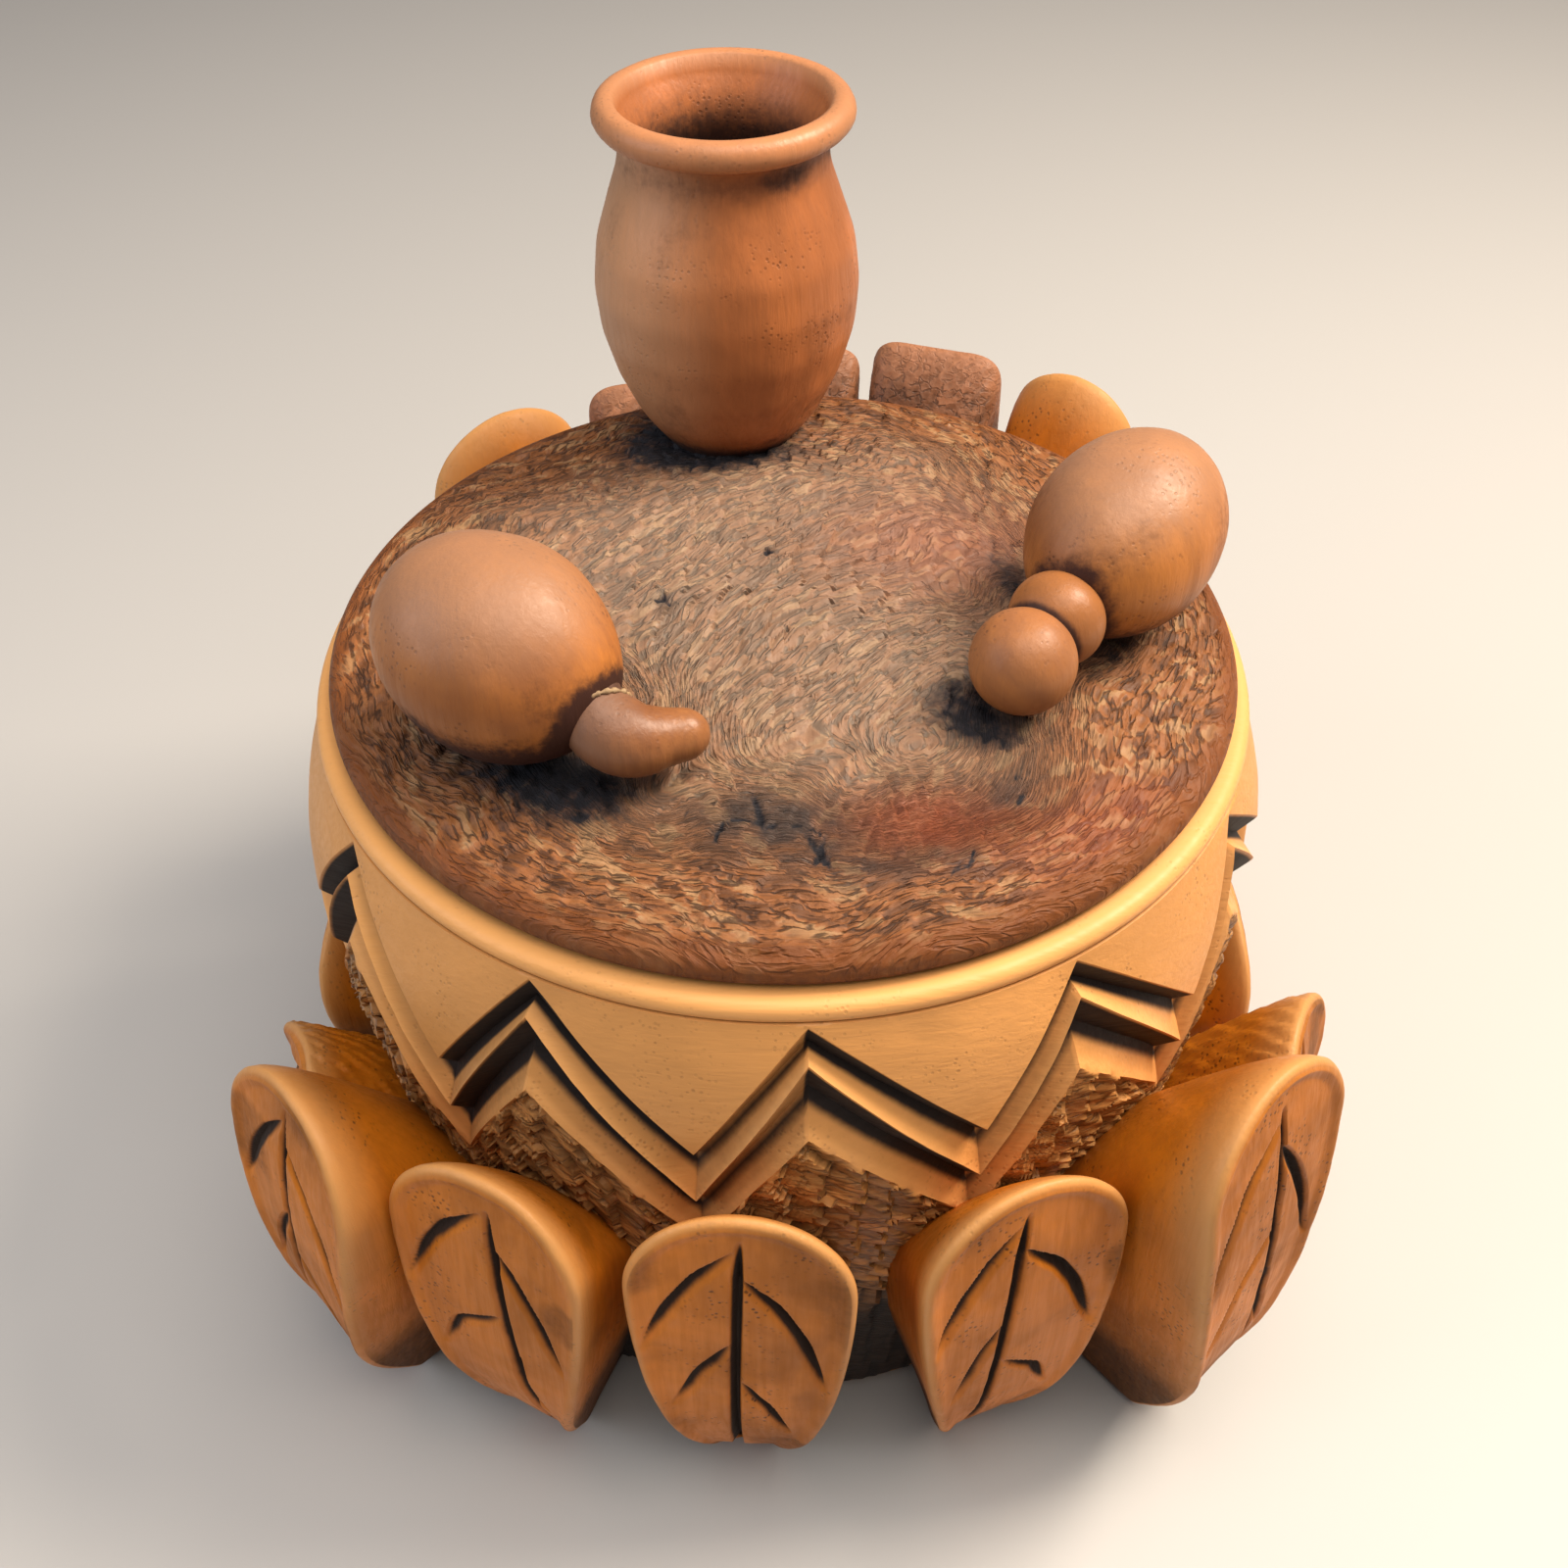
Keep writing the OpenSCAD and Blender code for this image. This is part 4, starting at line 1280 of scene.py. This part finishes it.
class LeafPotStage(bpy.types.PropertyGroup):
    """Floor, light and camera."""

    floor: colour_property("Floor", "Pale plain floor", (0.46, 0.43, 0.40))
    key_power: bpy.props.FloatProperty(
        name="Key light", description="Power of the warm main light", default=26.0, unit="POWER")
    fill_power: bpy.props.FloatProperty(
        name="Fill light", description="Power of the cool side light", default=7.5, unit="POWER")
    top_power: bpy.props.FloatProperty(
        name="Top light", description="Power of the light overhead", default=14.0, unit="POWER")
    lens: bpy.props.FloatProperty(
        name="Lens", description="Focal length of the camera in millimetres", default=38.25)


# ---------------------------------------------------------------- operators

class LEAFPOT_OT_pot(bpy.types.Operator):
    """Carve the pot with its zigzag band and gouged wall"""

    bl_idname = "leafpot.pot"
    bl_label = "Carve the pot"

    def execute(self, context):
        points, tags = pot_points(context.scene.leaf_pot_sizes)
        piece = surface("pot_wall", points, tags, sharp=42)
        c = wood_colours()
        material = pot_wood(c)
        finish_piece(piece, "pot", ("pot_body",), material)
        return {"FINISHED"}


def pot_wood(c):
    """Smooth light wood that turns to gouged brown where the mesh says so."""
    # the rim colour is painted highlight on the ribs and the ring, and the cut tone painted shade
    # in the zigzag, between the petals and in the hollows
    return wood("Pot wood", tint(c.field, 1.12), c.field, tint(c.field, 0.70), cut=tuple(c.cut),
                highlight_and_tone=tuple(c.rim), band=14.0, blotch=11.0, specks=0.35, fibre=0.16,
                lean=(0, 90, 20), rough=(0.40, 0.58), coat=0.08, ragged=0.16, gouge="part",
                stroke_depth=3.5,
                chips=(tint(c.field, 0.17), tint(c.field, 0.36), tint(c.field, 0.7)))


class LEAFPOT_OT_lid(bpy.types.Operator):
    """Carve the domed lid with its gouge strokes, burnt patches and painted shadows"""

    bl_idname = "leafpot.lid"
    bl_label = "Carve the lid"

    def execute(self, context):
        points, tags = lid_points(context.scene.leaf_pot_sizes)
        piece = surface("lid_dome", points, tags, sharp=55)
        c = wood_colours()
        # cut tone: near black of the burns and of painted shadows and shade; the edge tone darkens
        # the band at the edge
        material = wood("Lid wood", tint(c.lid, 1.35), c.lid, tint(c.lid, 0.62),
                        cut=(0.02, 0.017, 0.02), highlight_and_tone=(0.17, 0.045, 0.006), band=16.0,
                        blotch=20.0, fibre=0.12, lean=(90, 0, 0), rough=(0.45, 0.66),
                        coat=0.0, ragged=0.8,
                        chips=(tint(c.lid, 0.5), (0.27, 0.095, 0.028), (0.38, 0.205, 0.09)),
                        gouge="all", stroke_depth=6.0,
                        # the middle patch is a painted sheen
                        patches=(("middle", (0.29, 0.225, 0.165), 0.45),
                                 ("reddish", (0.25, 0.050, 0.018), 0.75),
                                 ("knot", (0.055, 0.040, 0.034), 0.9)))
        finish_piece(piece, "lid", ("lid",), material)
        return {"FINISHED"}


class LEAFPOT_OT_petals(bpy.types.Operator):
    """Carve the ring of sixteen leaf petals"""

    bl_idname = "leafpot.petals"
    bl_label = "Carve the petals"

    def execute(self, context):
        sizes = context.scene.leaf_pot_sizes
        c = wood_colours()
        for number in range(1, 17):
            points, tags = petal_points(number, sizes)
            piece = surface(f"leaf_{number:02d}", points, tags)
            if number in FLAT_TOPPED:
                # the highlight colour is painted highlight on the rims
                material = wood("Back petal wood", tint(c.back, 1.5), c.back, tint(c.back, 0.6),
                                cut=tuple(c.cut), highlight_and_tone=tint(c.back, 1.7), band=26.0, specks=0.5,
                                fibre=0.3, rough=(0.45, 0.62), gouge="object", stroke_depth=2.2,
                                chips=(tint(c.back, 0.6), tint(c.back, 1.1), tint(c.back, 2.0)))
            else:
                # the highlight colour is painted highlight on rims and shanks, and the cut tone
                # painted shade in the veins and between the petals
                material = wood("Petal wood", tint(c.petal, 1.3), c.petal, tint(c.petal, 0.42),
                                cut=(0.022, 0.009, 0.004), highlight_and_tone=tint(c.rim, 0.62), band=18.0,
                                blotch=24.0, specks=0.85, speck_scale=620.0, fibre=0.2,
                                rough=(0.42, 0.6), coat=0.0, ragged=0.25)
            finish_piece(piece, "pot", (petal_name(number),), material)
        return {"FINISHED"}


class LEAFPOT_OT_jar(bpy.types.Operator):
    """Turn the hollow jar on the lid"""

    bl_idname = "leafpot.jar"
    bl_label = "Turn the jar"

    def execute(self, context):
        points, tags = jar_points(context.scene.leaf_pot_sizes)
        piece = surface("jar_shell", points, tags)
        c = wood_colours()
        # the highlight colour is painted light on the side towards the fill light and on the lip;
        # the cut tone is painted shade inside and under the lip, the darker foot and real spots
        # and stains
        material = wood("Jar wood", tint(c.jar, 1.35), c.jar, tint(c.jar, 0.6),
                        cut=(0.05, 0.02, 0.012), highlight_and_tone=(0.56, 0.32, 0.17), band=34.0,
                        blotch=19.0, specks=0.5, fibre=0.28, rough=(0.36, 0.54), coat=0.06,
                        ragged=0.6)
        finish_piece(piece, "lid", ("jar",), material)
        return {"FINISHED"}


def gourd_wood(c):
    """Mottled tan wood of both gourds, darker where marked: painted shade on the undersides and
    real mottling.
    """
    # the highlight colour is painted highlight on the tops
    return wood("Gourd wood", tint(c.gourd, 1.4), tint(c.gourd, 0.95), (0.17, 0.048, 0.012),
                cut=(0.04, 0.011, 0.005), highlight_and_tone=(0.32, 0.17, 0.098), band=24.0, blotch=26.0,
                specks=0.55, fibre=0.2, rough=(0.38, 0.54), coat=0.06, ragged=0.9)


class LEAFPOT_OT_left_gourd(bpy.types.Operator):
    """Shape the left gourd with its horn and the glue at the joint"""

    bl_idname = "leafpot.left_gourd"
    bl_label = "Shape the left gourd"

    def execute(self, context):
        sizes = context.scene.leaf_pot_sizes
        c = wood_colours()
        direction = (0.82, -0.48, -0.30)
        horn_way = (0.40, -0.80, -0.45)
        centre = middle_mm("left_gourd")
        points, _ = egg_points(centre, direction, 27.0, 22.6, 0.06, 51)
        root = centre + np.array([19.0, -11.0, -6.0])
        gap = np.linalg.norm(points - (root + 2 * np.array(horn_way)), axis=-1)
        low = points[..., 2] - centre[2]
        mottle = 0.36 * smooth_step(0.0, 0.7, noise(points, 11.0, 73)) * smooth_step(24, -4, low)
        tags = {
            # painted shade on the underside, darker round the horn's root, and mottling
            "shade_and_stain": np.clip(0.85 * smooth_step(14, 8.0, gap) + 1.25 * smooth_step(1, -18, low)
                             + mottle, 0, 1),
            # painted highlight on the top
            "highlight_and_tone": np.clip(0.75 * smooth_step(2, 19, low), 0, 1),
        }
        piece = surface("left_gourd_body", points, tags)
        finish_piece(piece, "lid", ("left_gourd",), gourd_wood(c))
        points, share = horn_points(root, horn_way, sizes)
        tags = {
            "shade_and_stain": 0.55 * smooth_step(0.14, 0.0, share),
            "highlight_and_tone": smooth_step(0.55, 0.1, share) * 0.5,
        }
        piece = surface("left_gourd_horn", points, tags)
        material = wood("Horn wood", (0.30, 0.115, 0.038), (0.24, 0.085, 0.030),
                        (0.13, 0.045, 0.018), cut=(0.04, 0.014, 0.008),
                        highlight_and_tone=(0.22, 0.13, 0.09), band=30.0, blotch=34.0, specks=0.6,
                        rough=(0.36, 0.52), coat=0.08)
        finish_piece(piece, "lid", ("left_gourd_stem",), material)
        unit = np.array(horn_way) / np.linalg.norm(horn_way)
        ring = glue_points(root + 1.2 * unit, horn_way, sizes.horn_root + 0.5, 0.9, 61)
        piece = surface("left_gourd_glue", ring, flip=True)
        material = wood("Glue crumbs", (0.50, 0.36, 0.20), (0.38, 0.23, 0.11), (0.16, 0.08, 0.04),
                        band=60.0, blotch=160.0, specks=0.8, rough=(0.6, 0.8), coat=0.0)
        piece.data.materials.append(material)
        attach(piece, "lid")
        return {"FINISHED"}


class LEAFPOT_OT_right_gourd(bpy.types.Operator):
    """Shape the right gourd with its bead and ball"""

    bl_idname = "leafpot.right_gourd"
    bl_label = "Shape the right gourd"

    def execute(self, context):
        c = wood_colours()
        direction = np.array((-0.58, -0.79, -0.186))
        direction /= np.linalg.norm(direction)
        centre = middle_mm("right_gourd")
        points, along = egg_points(centre, direction, 27.0, 21.2, 0.05, 53)
        low = points[..., 2] - centre[2]
        tags = {
            # painted shade on the underside, darker at the end by the bead, and mottling
            "shade_and_stain": np.clip(0.75 * smooth_step(21, 25, along) + 0.8 * smooth_step(-3, -18, low)
                             + 0.30 * smooth_step(0.0, 0.7, noise(points, 11.0, 74)), 0, 1),
            # painted highlight on the top
            "highlight_and_tone": np.clip(0.75 * smooth_step(2, 18, low), 0, 1),
        }
        piece = surface("right_gourd_body", points, tags)
        finish_piece(piece, "lid", ("right_gourd",), gourd_wood(c))
        bead_at = centre + direction * 30.0
        points, along = egg_points(bead_at, direction, 9.6, 10.8, 0.0, 55, 60, 100)
        dark = np.clip(smooth_step(4.0, 6.6, along) + 0.8 * smooth_step(-4.5, -7, along), 0, 1)
        piece = surface("right_gourd_collar", points, {"shade_and_stain": dark, "highlight_and_tone": 0.35 + 0 * dark})
        material = wood("Bead wood", (0.36, 0.12, 0.03), (0.28, 0.085, 0.02), (0.17, 0.05, 0.015),
                        cut=(0.04, 0.014, 0.008), highlight_and_tone=(0.42, 0.18, 0.055), band=40.0, blotch=40.0,
                        specks=0.5, rough=(0.35, 0.52), coat=0.08)
        finish_piece(piece, "lid", ("right_gourd_bead",), material)
        ball_at = centre + direction * 44.0
        points, along = egg_points(ball_at, direction, 11.4, 11.5, 0.0, 57, 60, 100)
        low = points[..., 2] - ball_at[2]
        # darker at the end by the bead, with painted shade on the underside
        dark = np.clip(0.8 * smooth_step(-6.5, -9.5, along)
                       + 0.35 * smooth_step(-5, -11, low), 0, 1)
        piece = surface("right_gourd_end", points, {"shade_and_stain": dark, "highlight_and_tone": 0.3 + 0 * dark})
        finish_piece(piece, "lid", ("right_gourd_ball",), gourd_wood(c))
        return {"FINISHED"}


class LEAFPOT_OT_dowels(bpy.types.Operator):
    """Give the hidden dowels and pegs their plain pale wood"""

    bl_idname = "leafpot.dowels"
    bl_label = "Finish the dowels"

    def execute(self, context):
        material = wood("Dowel wood", (0.66, 0.48, 0.27), (0.58, 0.40, 0.21), (0.42, 0.27, 0.13),
                        band=60.0, specks=0.3, rough=(0.5, 0.65), coat=0.0)
        for name in DOWELS:
            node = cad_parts[name]
            node.data.materials.clear()
            node.data.materials.append(material)
        return {"FINISHED"}


class LEAFPOT_OT_stage(bpy.types.Operator):
    """Set the pale floor, the soft lights and the camera"""

    bl_idname = "leafpot.stage"
    bl_label = "Set the stage"

    def execute(self, context):
        stage = context.scene.leaf_pot_stage
        mesh = bpy.data.meshes.new("floor")
        half = FLOOR_HALF
        corners = [(-half, -half, 0), (half, -half, 0), (half, half, 0), (-half, half, 0)]
        mesh.from_pydata(corners, [], [(0, 1, 2, 3)])
        floor = bpy.data.objects.new("floor", mesh)
        context.scene.collection.objects.link(floor)
        material = bpy.data.materials.new("Pale floor")
        material.use_nodes = True
        shader = material.node_tree.nodes["Principled BSDF"]
        shader.inputs["Base Color"].default_value = (*stage.floor, 1)
        shader.inputs["Roughness"].default_value = 0.55
        mesh.materials.append(material)
        world = bpy.data.worlds.new("Soft room")
        world.use_nodes = True
        background = world.node_tree.nodes["Background"]
        background.inputs["Color"].default_value = WORLD_COLOUR
        background.inputs["Strength"].default_value = WORLD_LIGHT
        context.scene.world = world
        context.scene.view_settings.view_transform = "Standard"
        for name, power, size, colour, place, aim in (
            ("key", stage.key_power, 0.5, (1.0, 0.90, 0.76), (0.80, 0.18, 1.10), (0.0, 0.0, 0.12)),
            ("fill", stage.fill_power, 0.9, (0.78, 0.88, 1.0), (-1.1, -0.30, 0.75), (0, 0, 0.1)),
            ("top", stage.top_power, 0.9, (1.0, 0.94, 0.86), (0.15, -0.30, 1.30), (0, 0, 0.1)),
        ):
            data = bpy.data.lights.new(name, "AREA")
            data.energy = power
            data.size = size
            data.color = colour
            light = bpy.data.objects.new(name, data)
            context.scene.collection.objects.link(light)
            from_to = np.array(aim) - np.array(place)
            flat = math.hypot(from_to[0], from_to[1])
            light.location = place
            light.rotation_euler = (math.atan2(flat, -from_to[2]), 0,
                                    math.atan2(from_to[1], from_to[0]) - math.pi / 2)
        data = bpy.data.cameras.new("camera")
        data.lens = stage.lens
        data.sensor_width = SENSOR_WIDTH
        data.shift_x = CAMERA_SHIFT
        data.clip_start = 0.01
        camera = bpy.data.objects.new("camera", data)
        context.scene.collection.objects.link(camera)
        camera.location = CAMERA_PLACE
        camera.rotation_euler = (math.radians(CAMERA_TILT), 0, 0)
        context.scene.camera = camera
        return {"FINISHED"}


class LEAFPOT_PT_panel(bpy.types.Panel):
    """Sidebar panel with the settings and the steps in order"""

    bl_label = "Leaf pot"
    bl_space_type = "VIEW_3D"
    bl_region_type = "UI"
    bl_category = "Leaf pot"

    def draw(self, context):
        for group in (context.scene.leaf_pot_sizes, context.scene.leaf_pot_woods,
                      context.scene.leaf_pot_stage):
            box = self.layout.box()
            for name in group.bl_rna.properties.keys():
                if name not in ("rna_type", "name"):
                    box.prop(group, name)
        for step in STEPS:
            self.layout.operator(step.bl_idname)


STEPS = (LEAFPOT_OT_stage, LEAFPOT_OT_pot, LEAFPOT_OT_petals, LEAFPOT_OT_lid, LEAFPOT_OT_jar,
         LEAFPOT_OT_left_gourd, LEAFPOT_OT_right_gourd, LEAFPOT_OT_dowels)
CLASSES = (LeafPotSizes, LeafPotWoods, LeafPotStage, *STEPS, LEAFPOT_PT_panel)


def register():
    """Adds the settings, the steps and the panel."""
    for one in CLASSES:
        bpy.utils.register_class(one)
    bpy.types.Scene.leaf_pot_sizes = bpy.props.PointerProperty(type=LeafPotSizes)
    bpy.types.Scene.leaf_pot_woods = bpy.props.PointerProperty(type=LeafPotWoods)
    bpy.types.Scene.leaf_pot_stage = bpy.props.PointerProperty(type=LeafPotStage)


def unregister():
    """Takes them away again."""
    del bpy.types.Scene.leaf_pot_stage
    del bpy.types.Scene.leaf_pot_woods
    del bpy.types.Scene.leaf_pot_sizes
    for one in reversed(CLASSES):
        bpy.utils.unregister_class(one)


def main():
    """Registers everything and runs the steps in order."""
    register()
    for step in STEPS:
        space, name = step.bl_idname.split(".")
        getattr(getattr(bpy.ops, space), name)()
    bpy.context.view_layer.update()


if __name__ == "__main__":
    main()
